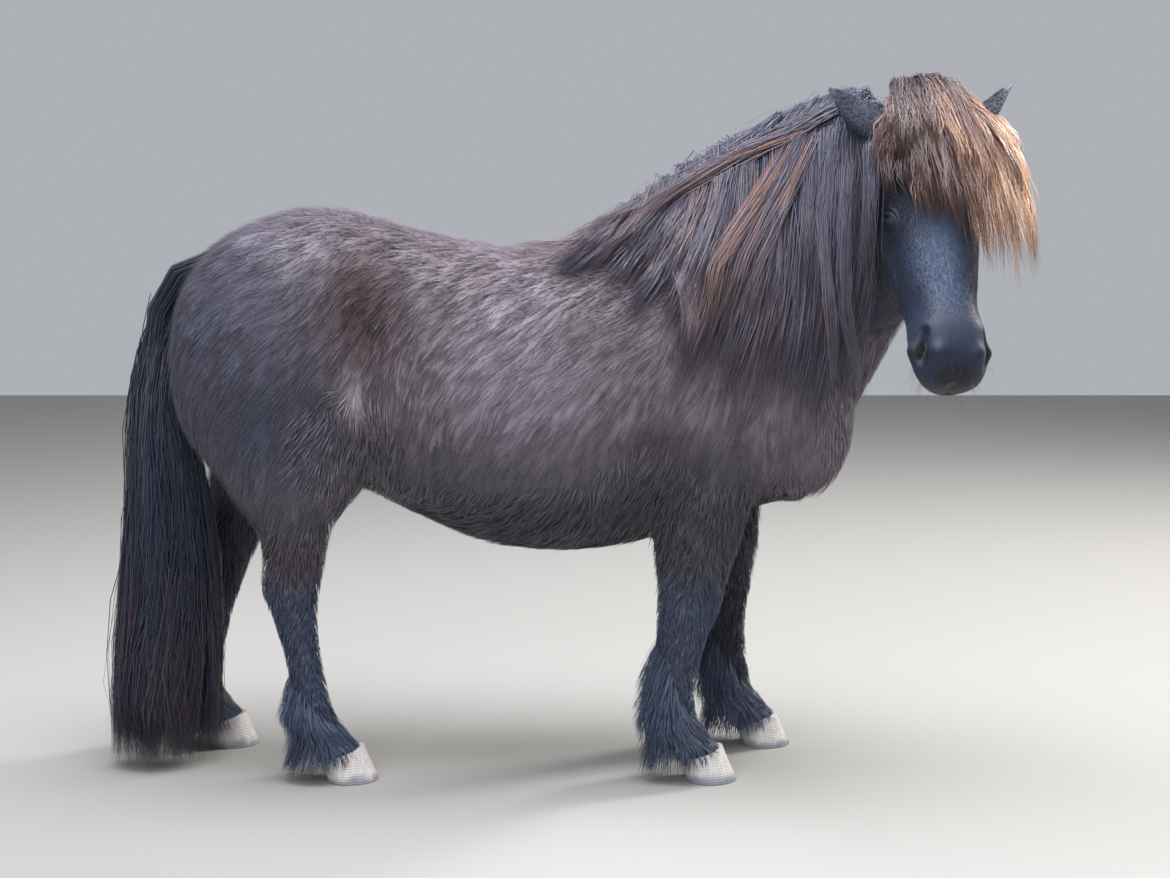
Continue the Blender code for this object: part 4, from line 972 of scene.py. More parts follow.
def skin_material():
    """The skin under the coat, bare at the nostrils and lips, where it is black and moist."""
    material, g, shader = new_material("skin")
    place = drawing_place(g)
    coat = marked(g, place)
    _, both, hx, _, _ = head_place(g, place)
    # Streaks that run down and back, as the hair does, show between the tufts.
    settings = {"Vector": place, "Rotation": (0.0, 0.85, 0.0), "Scale": (260.0, 260.0, 26.0)}
    streak = g.noise(g.add("ShaderNodeMapping", settings).outputs[0], 1.0, 2.0)
    hair = g.dimmed(coat, g.plus(0.45, g.times(streak, 0.75)))
    colour = g.mix(g.ramp(hx, 0.33, 0.4), hair, coat)
    nostril = g.ramp(g.near(both, (0.42, 0.051, -0.053), 0.026, (0.9, 0.8, 1.1)), 0.05, 0.6)
    wet = g.ramp(g.near(both, (0.456, 0.0, -0.064), 0.044, (1.0, 0.8, 1.25)), 0.1, 0.65)
    line = g.near(both, (0.455, 0.01, -0.104), 0.045, (0.6, 0.5, 4.0))
    black = g.math("MAXIMUM", nostril, g.math("MAXIMUM", wet, line))
    colour = g.mix(g.times(black, 0.93), colour, rgb(0.006, 0.007, 0.01))
    g.join(colour, shader, "Base Color")
    rough = g.math("SUBTRACT", 0.55, g.times(g.math("MAXIMUM", wet, nostril), 0.25))
    g.join(rough, shader, "Roughness")
    grain = g.plus(g.noise(place, 150.0, 4.0), g.times(streak, 0.8))
    g.bump(shader, g.plus(g.noise(place, 700.0, 2.0), grain), 0.3)
    g.sheen(shader, 0.3, 0.08, 0.4, (0.78, 0.8, 0.92))
    return material


def hair_material(name, root, middle, tip, stray, rough=0.38):
    """Long hair: three colours along each strand, and some strands of a colour of their own."""
    material, g, shader = new_material(name)
    along, red = g.attribute("along"), g.attribute("red")
    colour = g.mix(g.ramp(along, 0.05, 0.55), root, middle)
    colour = g.mix(g.times(g.ramp(red, 0.45, 0.95), g.ramp(along, 0.1, 0.45)), colour, stray)
    colour = g.mix(g.times(g.ramp(along, 0.35, 0.95), g.ramp(red, 0.2, 0.85)), colour, tip)
    value = g.plus(0.4, g.times(g.attribute("tone"), 1.25))
    g.join(g.dimmed(colour, value), shader, "Base Color")
    g.fix(shader, {"Roughness": rough})
    g.sheen(shader, 0.6, 0.12, 0.4, (0.75, 0.77, 0.92))
    return material


def hoof_material():
    """Pale horn with growth rings and fine streaks, darker and blue-grey towards the ground."""
    material, g, shader = new_material("hoof_horn")
    place = drawing_place(g)
    x, y, z = g.parts(place)
    lines = g.noise(g.whole(x, y, g.times(z, 0.06)), 260.0, 3.0)
    blot = g.noise(place, 38.0, 4.0)
    colour = g.mix(g.ramp(lines, 0.35, 0.7), rgb(0.57, 0.55, 0.54), rgb(0.46, 0.43, 0.42))
    colour = g.mix(g.times(g.ramp(blot, 0.5, 0.75), 0.5), colour, rgb(0.58, 0.42, 0.36))
    low = g.plus(z, g.times(g.math("SUBTRACT", blot, 0.5), 0.03))
    colour = g.mix(g.times(g.ramp(low, 0.02, 0.004), 0.8), colour, rgb(0.16, 0.18, 0.22))
    g.join(colour, shader, "Base Color")
    rings = {"Scale": 70.0, "Distortion": 2.0, "Vector": place}
    wave = g.add("ShaderNodeTexWave", rings, bands_direction="Z").outputs[1]
    g.bump(shader, g.plus(g.times(wave, 0.6), g.times(lines, 0.5)), 0.5)
    g.fix(shader, {"Roughness": 0.48})
    return material


def eye_material(side):
    """A dark brown iris round a wide level pupil, under a wet clear surface."""
    material, g, shader = new_material("eye_" + side)
    place = g.add("ShaderNodeTexCoord").outputs["Object"]
    x, y, _ = g.parts(g.framed(place, Matrix.Translation(STAND) @ eye_frame(SIDES[side])))
    flat = g.whole(x, y, 0.0)
    iris = g.near(flat, (0, 0, 0), 0.014)
    pupil = g.near(flat, (0, 0, 0), 0.0065, (0.8, 1.9, 1.0))
    threads = g.noise(g.vector("NORMALIZE", flat)[0], 9.0, 4.0)
    brown = g.mix(g.ramp(threads, 0.3, 0.7), rgb(0.01, 0.005, 0.003), rgb(0.024, 0.011, 0.006))
    colour = g.mix(g.ramp(iris, 0.0, 0.12), rgb(0.01, 0.008, 0.008), brown)
    colour = g.mix(g.ramp(pupil, 0.05, 0.35), colour, rgb(0.003, 0.004, 0.008))
    g.join(colour, shader, "Base Color")
    g.fix(shader, {"Roughness": 0.06, "Coat Weight": 1.0, "Coat Roughness": 0.02})
    return material


# Skin, lids, eyes, hooves ---------------------------------------------------------------------------


def eye_frame(side):
    """Stands at the middle of the eyeball, Z out along its look and X along the line of the lids."""
    look = (EYE_LOOK * Vector((1, side, 1))).normalized()
    along = (LID_LINE - look * LID_LINE.dot(look)).normalized()
    turn = Matrix((along, look.cross(along), look)).transposed().to_4x4()
    return head_frame() @ Matrix.Translation(EYE * Vector((1, side, 1))) @ turn


def ear_points(side, rounds=26, steps=7, thin=0.0):
    """Rings of one ear's cup from root to tip, outer wall first and then inner, in the drawing frame."""
    root, aim, opening = EARS[side]
    aim = aim.normalized()
    front = (opening - aim * opening.dot(aim)).normalized()
    side_way = aim.cross(front)
    place = head_frame()
    rings = []
    for share, half, cup, wall in curve_through(EAR, steps):
        turn = np.radians(np.linspace(-wall, wall, rounds))
        thick = min(EAR_WALL, 0.6 * cup) - 2 * thin
        outer = [(-math.cos(t) * (cup - thin), math.sin(t) * (half - thin)) for t in turn]
        inner = [(-math.cos(t) * (cup - thick), math.sin(t) * (half - thick)) for t in turn[::-1]]
        lean = 0.01 * math.sin(min(share, 1.0) * math.pi / 2) ** 2
        middle = root + aim * (EAR_LENGTH * (share - 0.18)) + front * (lean - 0.3 * cup)
        rings.append([place @ (middle + front * a + side_way * b) for a, b in outer + inner])
    return rings


def make_skin():
    """One skin from lips to dock and down to the hooves, with the ears, inside the coat."""
    body = melted("body_clay", [torso_rings(), neck_rings(), *(leg_rings(leg) for leg in LEGS.values())],
                  0.0075, 24, masses=True)
    head = melted("head_clay", [neck_rings(), head_rings()], 0.0035, 10)
    select(body, head)
    bpy.ops.object.join()
    skin = named("skin")
    melt_and_soften(skin, SKIN_VOXEL, 4)
    stroke(skin.data, BODY_STROKES)
    stroke(skin.data, HEAD_STROKES, True, HEAD_LINES)
    WORK["outer"] = BVHTree.FromPolygons(
        [Vector(p) for p in points_of(skin.data)], [tuple(p.vertices) for p in skin.data.polygons]
    )
    points, normals = points_of(skin.data), normals_of(skin.data)
    put_points(skin.data, points - normals * coat_depth(points)[:, None])
    plain = skin.vertex_groups.new(name="plain")
    plain.add([int(i) for i in np.flatnonzero(head_share(in_head(points)) < 0.5)], 1.0, "REPLACE")
    skin.data.calc_loop_triangles()
    share = SKIN_TRIANGLES / len(skin.data.loop_triangles)
    if share < 1:
        thin = skin.modifiers.new("thin", "DECIMATE")
        thin.ratio, thin.vertex_group, thin.use_collapse_triangulate = share, "plain", True
        apply_modifiers(skin)
    skin.vertex_groups.clear()
    open_eyes(skin)
    WORK["skin_tree"] = BVHTree.FromObject(skin, bpy.context.evaluated_depsgraph_get())
    make_chart(skin)
    for side in EARS:
        bm = bmesh.new()
        loft(bm, ear_points(side, thin=DEPTH["ear"] * 0.5))
        select(skin, put_mesh("ear", bm))
        bpy.ops.object.join()
    skin.data.transform(Matrix.Translation(STAND))
    skin.data.shade_smooth()
    finished(skin, skin_material())
    legs = [f"leg_{part}_{name}" for name in LEGS for part in ("upper", "lower")]
    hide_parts("torso", "neck", "head", "ear_right", "ear_left", *legs)
    WORK["skin"] = skin


def open_eyes(skin):
    """Takes away the skin over each eyeball, under the lids."""
    bm = bmesh.new()
    bm.from_mesh(skin.data)
    for side in (-1, 1):
        back = eye_frame(side).inverted()
        gone = []
        for face in bm.faces:
            p = back @ face.calc_center_median()
            if p.z > -0.01 and p.length < 0.04 and (p.x / 0.0225) ** 2 + (p.y / 0.019) ** 2 < 1:
                gone.append(face)
        bmesh.ops.delete(bm, geom=gone, context="FACES")
    bm.to_mesh(skin.data)
    bm.free()


def make_chart(skin):
    """An unwrap of the skin's own shape, on a coarse copy, for the places of the bake map."""
    chart = linked("chart", skin.data.copy())
    chart.data.calc_loop_triangles()
    thin = chart.modifiers.new("thin", "DECIMATE")
    thin.ratio, thin.use_collapse_triangulate = CHART_TRIANGLES / len(chart.data.loop_triangles), True
    apply_modifiers(chart)
    edit_all()
    bpy.ops.uv.smart_project(angle_limit=math.radians(66), island_margin=0.002)
    bpy.ops.object.mode_set(mode="OBJECT")
    mesh = chart.data
    corners = np.empty(len(mesh.loops), np.int32)
    mesh.loops.foreach_get("vertex_index", corners)
    flat = np.empty(len(mesh.loops) * 2, np.float32)
    mesh.uv_layers.active.uv.foreach_get("vector", flat)
    points = points_of(mesh)
    WORK["chart"] = (points[corners].reshape(-1, 3, 3), flat.reshape(-1, 3, 2).astype(float))
    WORK["chart_tree"] = BVHTree.FromPolygons(
        [Vector(p) for p in points], [tuple(t) for t in corners.reshape(-1, 3)]
    )
    remove(chart)


def chart_places(points):
    """Where roots lie on the unwrap of the skin."""
    places, _, faces = nearest(WORK["chart_tree"], points)
    corners, flat = WORK["chart"]
    a, b, c = (corners[faces][:, k] for k in range(3))
    u, v, w = b - a, c - a, places - a
    uu, uv, vv = (u * u).sum(1), (u * v).sum(1), (v * v).sum(1)
    wu, wv = (w * u).sum(1), (w * v).sum(1)
    base = np.maximum(uu * vv - uv * uv, 1e-18)
    s, t = (vv * wu - uv * wv) / base, (uu * wv - uv * wu) / base
    part = np.clip(np.stack([1 - s - t, s, t], 1), 0, 1)
    return (flat[faces] * (part / part.sum(1, keepdims=True))[:, :, None]).sum(1)


LID_RINGS = 16
LID_AROUND = 72


def make_lids():
    """The lids round each eye: a fold above, a fine edge, and the turn of the skin inside it."""
    WORK["lash"] = hair_material(
        "lash", rgb(0.02, 0.02, 0.02), rgb(0.03, 0.025, 0.025), rgb(0.05, 0.04, 0.03), rgb(0.05, 0.04, 0.03)
    )
    for word, side in SIDES.items():
        place = eye_frame(side)
        back = place.inverted()
        turn = 2 * np.pi * np.arange(LID_AROUND) / LID_AROUND
        c, s = np.cos(turn), np.sin(turn)
        up = side * -1.0
        rows = []
        for ring in range(LID_RINGS + 2):
            t = min(ring / (LID_RINGS - 1), 1.0)
            row = []
            for ca, sa in zip(c, s):
                above = sa * up > 0
                inner = Vector((0.014 * ca, (0.0048 if above else 0.004) * np.sign(sa) * abs(sa) ** 1.25, 0.0))
                outer = Vector((0.029 * ca, 0.0235 * sa, 0.0))
                flat = outer.lerp(inner, t ** 0.85)
                ball = math.sqrt(max((EYE_BALL + 0.0015) ** 2 - flat.x**2 - flat.y**2, 0.0)) - EYE_SINK
                above_lid, inwards = place @ (flat + Vector((0, 0, 0.05))), place.to_3x3() @ Vector((0, 0, -1))
                hit = WORK["outer"].ray_cast(above_lid, inwards)
                ground = (back @ hit[0]).z - 0.0027 - 0.0025 * max(1 - t / 0.25, 0.0) if hit[0] else 0.004
                z = 0.5 * (ground + ball + math.hypot(ground - ball, 0.0012))
                fold = 0.0018 * math.exp(-(((t - 0.6) / 0.06) ** 2)) - 0.001 * math.exp(-(((t - 0.44) / 0.09) ** 2))
                z -= fold * (1.0 if above else 0.6) * min(1.0, 1.3 * abs(sa) + 0.15)
                z += 0.0009 * math.exp(-(((t - 0.86) / 0.09) ** 2)) * (0.4 + 0.6 * abs(sa))
                flat.z = z
                if ring >= LID_RINGS:
                    flat.z -= 0.0018 * (ring - LID_RINGS + 1)
                    flat.y *= 0.97
                row.append(place @ flat)
            rows.append(row)
        points = np.array(rows).reshape(-1, 3)
        triangles = []
        for r in range(len(rows) - 1):
            for i in range(LID_AROUND):
                j = (i + 1) % LID_AROUND
                a, b, d, e = r * LID_AROUND + i, r * LID_AROUND + j, (r + 1) * LID_AROUND + j, (r + 1) * LID_AROUND + i
                triangles += [(a, b, d), (a, d, e)]
        new_piece("lids_" + word, points, np.array(triangles), WORK["skin"].data.materials[0])
        # Lashes stand out of the upper edge.
        rng = np.random.default_rng(11 + side)
        count = LASHES
        angle = np.radians(rng.uniform(18, 162, count)) * up
        ca, sa = np.cos(angle), np.sin(angle)
        x, y = 0.0138 * ca, 0.005 * np.sign(sa) * np.abs(sa) ** 1.25
        z = np.sqrt(EYE_BALL**2 - x**2 - y**2) - EYE_SINK + 0.001
        base = np.stack([x, y, z], 1)
        way = np.stack([0.35 * ca + rng.normal(0, 0.1, count), 0.35 * up * np.ones(count), np.ones(count)], 1)
        length = rng.uniform(0.008, 0.013, count)[:, None]
        paths = []
        for t in (0.0, 0.35, 0.7, 1.0):
            droop = np.array([0.0, -up * 0.5, -0.25]) * t * t
            paths.append(base + (unit(way) + droop) * length * t)
        world = carried(np.stack(paths, 1), place)
        faces = np.broadcast_to(np.array(place)[:3, 2], world.shape)
        roots = np.stack([np.linspace(0.1, 0.9, count), np.full(count, 0.5)], 1)
        strands("lashes_" + word, world, faces + 0.01, np.full(count, LASH_WIDTH), 0.8, WORK["lash"], roots,
                rng.uniform(0, 0.3, count), np.zeros(count))


def make_eyes():
    """Each eyeball with the bulge of its clear front."""
    for word, side in SIDES.items():
        deselect()
        bpy.ops.mesh.primitive_uv_sphere_add(segments=64, ring_count=40, radius=EYE_BALL)
        eye = named("eyeball_" + word)
        points = points_of(eye.data)
        front = np.clip((points[:, 2] / EYE_BALL - 0.62) / 0.38, 0, 1)
        put_points(eye.data, points * (1 + 0.045 * front**1.2)[:, None] - (0, 0, EYE_SINK))
        eye.data.transform(Matrix.Translation(STAND) @ eye_frame(side))
        eye.data.shade_smooth()
        finished(eye, eye_material(word))
        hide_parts("eye_" + word)


def make_hooves():
    """Each hoof drawn up from its sole, flared, cut to the slope of the coronet and rounded."""
    material = hoof_material()
    for name, (side, _, forward) in LEGS.items():
        deselect()
        bpy.ops.mesh.primitive_circle_add(vertices=56, radius=1.0, fill_type="NGON")
        hoof = named("horn_" + name)
        edit_all()
        levels = (0.0, 0.003, 0.012, 0.024, 0.036, HOOF_HEIGHT + 0.02)
        for low, high in zip(levels, levels[1:]):
            bpy.ops.mesh.extrude_region_move(TRANSFORM_OT_translate={"value": (0, 0, high - low)})
        bpy.ops.object.mode_set(mode="OBJECT")
        points = points_of(hoof.data)
        z = points[:, 2]
        size = np.interp(z, (0.0, 0.003, 0.03, HOOF_HEIGHT + 0.02), (0.985, 1.01, 0.935, HOOF_FLARE))
        heel = np.where(points[:, 0] < 0, 0.8, 1.0)
        low, top = forward[-1], forward[-2]
        x = low + 0.004 + (top - low) * z / HOOF_HEIGHT + SOLE_LENGTH * size * points[:, 0] * heel
        y = side * LEG_Y + SOLE_WIDTH * size * points[:, 1]
        put_points(hoof.data, np.stack([x, y, z], 1) + np.array(STAND))
        edit_all()
        slope = math.radians(HOOF_SLOPE)
        place = (forward[-2] + STAND.x, side * LEG_Y + STAND.y, HOOF_HEIGHT + 0.002)
        bpy.ops.mesh.bisect(
            plane_co=place, plane_no=(-math.sin(slope), 0.0, math.cos(slope)), clear_outer=True, use_fill=True
        )
        bpy.ops.mesh.select_all(action="SELECT")
        bpy.ops.mesh.normals_make_consistent(inside=False)
        bpy.ops.object.mode_set(mode="OBJECT")
        hoof.data.shade_smooth()
        hoof.data.set_sharp_from_angle(angle=math.radians(50))
        finished(hoof, material)
        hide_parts("hoof_" + name)


# Coat -----------------------------------------------------------------------------------------------


def laid(points, lies, start):
    """Points with both sides laid together, and the way that a table of lies gives at each."""
    folded = points * (1, 0, 1) + np.abs(points[:, 1:2]) * (0, 1, 0)
    way = np.tile(start, (len(points), 1))
    for place, lie, reach in lies.values():
        near = np.exp(-(((folded - np.array(place)) ** 2).sum(1)) / reach**2)
        way += near[:, None] * np.array(lie)
    return folded, way


def lie_of(points, normals):
    """The way the coat lies at each point, along the skin."""
    folded, way = laid(points, LIE, (-0.02, 0.0, -0.04))
    far = folded - np.array(WHORL)
    near = 0.8 * np.exp(-((far**2).sum(1)) / 0.036**2)
    way = unit(way) * (1 - near[:, None]) + near[:, None] * (unit(far) + np.array((0.0, 0.0, -0.35)))
    low = np.clip((0.46 - points[:, 2]) / 0.1, 0, 1) * (np.abs(points[:, 1]) > 0.06)
    way = way * (1 - low[:, None]) + low[:, None] * np.array((-0.12, 0.0, -1.0))
    way[:, 1] *= np.where(points[:, 1] < 0, -1.0, 1.0)
    local = in_head(points)
    _, on_head = laid(local, HEAD_LIE, (0.0, 0.0, 0.0))
    on_head[:, 1] *= np.where(local[:, 1] < 0, -1.0, 1.0)
    turned = unit(on_head) @ np.array(head_frame())[:3, :3].T
    share = head_share(local)[:, None]
    way = way * (1 - share) + turned * share
    way -= normals * (way * normals).sum(1, keepdims=True)
    return unit(way)


def coat_plan(points):
    """Length, width, density and shagginess of the coat at each point."""
    local = in_head(points)
    head = head_share(local)
    z, x = points[:, 2], points[:, 0]
    outwards = np.abs(points[:, 1])
    belly = np.clip((0.55 - z) / 0.08, 0, 1) * ((x > -0.42) & (x < 0.4)) * (z > 0.36)
    chest = np.exp(-(((points - (0.44, 0.0, 0.66)) ** 2).sum(1)) / 0.15**2)
    flank = np.exp(-((x + 0.4) ** 2 + (outwards - 0.2) ** 2 + (z - 0.6) ** 2) / 0.08**2)
    elbow = np.exp(-((x - 0.11) ** 2 + (outwards - 0.2) ** 2 + (z - 0.5) ** 2) / 0.09**2)
    shag = np.clip(belly + 0.7 * chest + flank + elbow, 0, 1)
    look = bpy.context.scene.pony_coat
    length = look.tuft_length * (1 + 0.55 * shag)
    leg = np.clip((0.44 - z) / 0.12, 0, 1) * (outwards > 0.05)
    length = length * (1 - leg) + leg * np.interp(z, (0.05, 0.15, 0.35), (0.016, 0.024, 0.032))
    width = look.tuft_width * (1 - 0.1 * leg)
    dense = 1.0 + 1.1 * leg + 0.25 * shag
    back = cheek_share(local, 0.04, 0.27)
    tip = np.clip((local[:, 0] - 0.3) / 0.1, 0, 1)
    face = (0.0085 + 0.018 * back) * (1 - tip) + 0.005 * tip
    length = length * (1 - head) + face * head
    width = width * (1 - head) + (0.0009 + 0.0007 * back - 0.0003 * tip) * head
    dense = dense * (1 - head) + (14.0 - 9.0 * back - 4.0 * tip) * head
    shag = shag * (1 - head) + 0.3 * back * head
    return length, width, dense, shag


def scatter(mesh, count, rng, density):
    """Random places on a mesh, thicker where density is high: places and normals."""
    mesh.calc_loop_triangles()
    corners = np.empty(len(mesh.loop_triangles) * 3, np.int32)
    mesh.loop_triangles.foreach_get("vertices", corners)
    corners = corners.reshape(-1, 3)
    points, normals = points_of(mesh), normals_of(mesh)
    a, b, c = (points[corners[:, k]] for k in range(3))
    area = np.linalg.norm(np.cross(b - a, c - a), axis=1) / 2
    weight = area * density((a + b + c) / 3)
    picked = rng.choice(len(corners), count, p=weight / weight.sum())
    u, v = rng.random(count), rng.random(count)
    flip = u + v > 1
    u[flip], v[flip] = 1 - u[flip], 1 - v[flip]
    part = np.stack([1 - u - v, u, v], 1)[:, :, None]
    where = (points[corners[picked]] * part).sum(1)
    facing = unit((normals[corners[picked]] * part).sum(1))
    return where, facing


def make_coat():
    """The winter coat in tufts that lie along the body, clumped, in pieces that each cover it all."""
    rng = np.random.default_rng(5)
    tufts = bpy.context.scene.pony_coat.tufts
    total = tufts
    stand = np.array(STAND)
    where, facing = scatter(WORK["skin"].data, total, rng, lambda p: coat_plan(p - stand)[2])
    where = where - stand
    keep = where[:, 2] > 0.044
    local = in_head(where)
    for side in SIDES.values():
        p = carried(where, eye_frame(side).inverted())
        inside = (p[:, 0] / 0.023) ** 2 + (p[:, 1] / 0.0175) ** 2 < 1
        keep &= ~((p[:, 2] > -0.012) & inside & (np.abs(p).max(1) < 0.04))
        keep &= reach_of_line(local, np.array(NOSTRIL) * (1, side, 1)) > 0.011
        keep &= reach_of_line(local, np.array(MOUTH) * (1, side, 1)) > 0.005
    nose = (local[:, 0] > 0.435) & (head_share(local) > 0.5)
    keep &= ~(nose & (np.abs(local[:, 1]) < 0.035) & (local[:, 2] > -0.1))
    where, facing = where[keep], facing[keep]
    count = len(where)
    length, width, _, shag = coat_plan(where)
    way = lie_of(where, facing)
    swirl = 0.26 * noise(where, 0.04, 21) + 0.1 * noise(where, 0.012, 22) + rng.normal(0, 0.09, count)
    swirl *= 1 + 0.9 * shag
    across = np.cross(facing, way)
    way = unit(way * np.cos(swirl)[:, None] + across * np.sin(swirl)[:, None])
    depth = coat_depth(where)
    length = length * rng.uniform(0.7, 1.2, count)
    lift = rng.uniform(0.7, 1.1, count) + 0.35 * shag * np.clip(noise(where, 0.02, 23), 0, 1)
    tree = WORK["skin_tree"]
    middle, out_middle, _ = nearest(tree, where + way * (length * 0.5)[:, None])
    tip, out_tip, _ = nearest(tree, middle + unit(middle - where) * (length * 0.55)[:, None])
    # Tips of neighbours draw together into clumps.
    seeds = rng.choice(count, count // TUFTS_A_CLUMP, replace=False)
    tree_of_seeds = KDTree(len(seeds))
    for i, seed in enumerate(seeds):
        tree_of_seeds.insert(Vector(where[seed]), i)
    tree_of_seeds.balance()
    owner = seeds[np.array([tree_of_seeds.find(Vector(p))[1] for p in where])]
    face = head_share(in_head(where)) > 0.5
    pull = ((0.3 + 0.4 * shag) * np.where(face, 0.3, 1.0))[:, None]
    gap = (where[owner] - where) * (np.linalg.norm(where[owner] - where, axis=1) < 0.03)[:, None]
    middle, tip = middle + gap * pull * 0.45, tip + gap * pull
    middle += out_middle * (depth * 0.7 * lift)[:, None]
    tip += out_tip * (depth * np.where(face, 0.9, 1.0) * lift)[:, None]
    paths = np.stack([where - facing * 0.001, middle, tip], 1)
    faces = np.stack([facing, out_middle, out_tip], 1)
    clump_tone = rng.normal(0, 1, count)[owner]
    tone = 0.1 * noise(where, 0.05, 31) + 0.08 * clump_tone + rng.normal(0, 0.12, count)
    tone = np.clip(0.5 + tone * np.where(face, 0.5, 1.0) + 0.35 * (rng.random(count) < 0.05) * ~face, 0.0, 1.0)
    roots = chart_places(where)
    material = WORK["coat"] = coat_material()
    # Where the coat is long or turns sharply its tufts are bent, elsewhere each is a straight spike.
    bent = (shag > 0.25) | ((where[:, 2] < 0.46) & ~face)
    width = width * rng.uniform(0.75, 1.25, count) * np.where(bent, 1.25, 1.0)
    bent &= rng.random(count) < 0.62
    for word, chosen, rows, pieces in (("spikes", ~bent, [0, 2], 4), ("tufts", bent, [0, 1, 2], 2)):
        for k, part in enumerate(np.array_split(rng.permutation(np.flatnonzero(chosen)), pieces)):
            strands(f"coat_{word}_{k + 1}", paths[part][:, rows], faces[part][:, rows], width[part], 0.45,
                    material, roots[part], tone[part])


def make_ear_hair():
    """Short hair over the backs of the ears and soft hair at their openings."""
    rng = np.random.default_rng(9)
    made = []
    for k, side in enumerate(EARS):
        rounds, steps = 26, 7
        rings = np.array(ear_points(side, rounds, steps))
        outer, inner = rings[:, :rounds], rings[:, rounds:][:, ::-1]
        n = rings.shape[0] - 1
        aim = np.array(head_frame().to_3x3() @ EARS[side][1].normalized())
        centre = rings.mean(1)
        sheets = ((2600, outer, 1.0, 0.006, 0.001), (700, inner, -1.0, 0.009, 0.0008))
        for count, sheet, sign, length, wide in sheets:
            i = np.minimum((rng.random(count) ** 1.1 * n).astype(int), n - 1)
            j = (rng.random(count) * (rounds - 1)).astype(int)
            s, t = rng.random((count, 1)), rng.random((count, 1))
            p = (sheet[i, j] * (1 - s) + sheet[i + 1, j] * s) * (1 - t) + (
                sheet[i, j + 1] * (1 - s) + sheet[i + 1, j + 1] * s
            ) * t
            normal = unit(np.cross(sheet[i + 1, j] - sheet[i, j], sheet[i, j + 1] - sheet[i, j]))
            outwards = np.sign((normal * (p - centre[i])).sum(1, keepdims=True)) * sign
            normal = normal * outwards
            way = unit(aim[None] + rng.normal(0, 0.16, (count, 3)))
            way = unit(way - normal * (way * normal).sum(1, keepdims=True))
            size = length * rng.uniform(0.7, 1.2, (count, 1))
            base = p - normal * 0.0004
            mid = p + way * size * 0.5 + normal * 0.0018
            end = p + way * size + normal * (0.0022 if sign > 0 else 0.004)
            made.append((
                np.stack([base, mid, end], 1), np.repeat(normal[:, None], 3, 1), np.full(count, wide),
                np.stack([(k * 2 + (sign < 0) + (j + t[:, 0]) / rounds) / 4, (i + s[:, 0]) / n], 1),
                np.clip(0.45 + rng.normal(0, 0.2, count) + (0.25 if sign < 0 else 0.0), 0, 1),
            ))
    paths, faces, widths, roots, tones = (np.concatenate(part) for part in zip(*made))
    strands("coat_ears", paths, faces, widths, FLAT, WORK["coat"], roots, tones)


# Long hair ------------------------------------------------------------------------------------------


def smooth_path(places, count, bunched=1.5):
    """A smooth path through rows of places, with its own places closer together near the root."""
    fine = curve_through(places, 12)
    far = np.concatenate([[0], np.cumsum(np.linalg.norm(np.diff(fine[:, :3], axis=0), axis=1))])
    at = np.linspace(0, 1, count) ** bunched * far[-1]
    return np.stack([np.interp(at, far, fine[:, k]) for k in range(fine.shape[1])], 1)


def wisps(guides, rng, each, places, spread, clump, wave, frizz, width, stray=0.1, bunched=1.5, least=0.78):
    """Strands about guides. A guide is (places, faces, wide, tone, red); they spread and draw together."""
    made = []
    t = np.linspace(0, 1, places) ** bunched
    for index, (rows, outs, wide, tone, red) in enumerate(guides):
        line = smooth_path(np.hstack([np.array(rows), np.array(outs)]), 25, 1.0)
        along = unit(np.gradient(line[:, :3], axis=0))
        out = unit(line[:, 3:])
        side = unit(np.cross(along, out))
        a = rng.normal(0, 0.42, (each, 1)) * wide * spread
        b = rng.normal(0, 0.3, (each, 1)) * wide * 0.45
        loose = (rng.random((each, 1)) < stray) * rng.uniform(1.0, 2.4, (each, 1))
        # Each lock parts into a few finer ones towards its end.
        knots = rng.normal(0, 0.45, 5) * wide * spread
        home = knots[np.argmin(np.abs(a - knots[None]), axis=1)][:, None]
        draw = clump * t[None] ** 1.2 * (1 - np.minimum(loose, 1.0))
        offset_side = a * (1 - draw) + home * draw + a * loose * t[None] * 0.9
        phase = rng.uniform(0, FULL_TURN, (each, 1))
        common = rng.uniform(0, FULL_TURN)
        turns = rng.uniform(1.1, 2.4)
        curl = wave * np.sin(FULL_TURN * turns * t[None] + common + 0.5 * phase + 40 * home) * t[None] ** 0.7
        fuzz = frizz * np.sin(FULL_TURN * rng.uniform(2.5, 6, (each, 1)) * t[None] + phase) * t[None]
        offset_side = offset_side + curl + fuzz
        swing = 0.35 * wave * np.cos(9.0 * t[None] + common + phase) * t[None]
        offset_out = b * (1 - 0.6 * draw) + swing + np.abs(fuzz) * 0.5
        # A shorter strand stops sooner along the same guide.
        at = t[None] * rng.uniform(least, 1.04, (each, 1)).clip(0, 1) * 24
        low = np.minimum(at.astype(int), 23)
        f = (at - low)[..., None]
        base, s, o = (rows_of[low] * (1 - f) + rows_of[low + 1] * f for rows_of in (line[:, :3], side, out))
        made.append((
            base + s * offset_side[..., None] + o * offset_out[..., None], o, width * rng.uniform(0.6, 1.4, each),
            np.clip(tone + rng.normal(0, 0.17, each), 0, 1), np.clip(red + rng.normal(0, 0.22, each), 0, 1),
            np.stack([np.full(each, (index + 0.5) / len(guides)), rng.random(each)], 1),
        ))
    *joined, shares = (np.concatenate(part) for part in zip(*made))
    shares[:, 0] = np.clip(shares[:, 0] + rng.uniform(-0.5, 0.5, len(shares)) / len(guides), 0.01, 0.99)
    return *joined, shares


def hair_piece(name, made, material, floor=0.006, bunched=1.5):
    """A piece of long hair from what wisps gives."""
    paths, faces, widths, tones, reds, shares = made
    paths[..., 2] = np.maximum(paths[..., 2], floor)
    return strands(name, paths, faces, widths, FLAT, material, shares, tones, reds, HAIR_PATCH, 0.9, bunched)


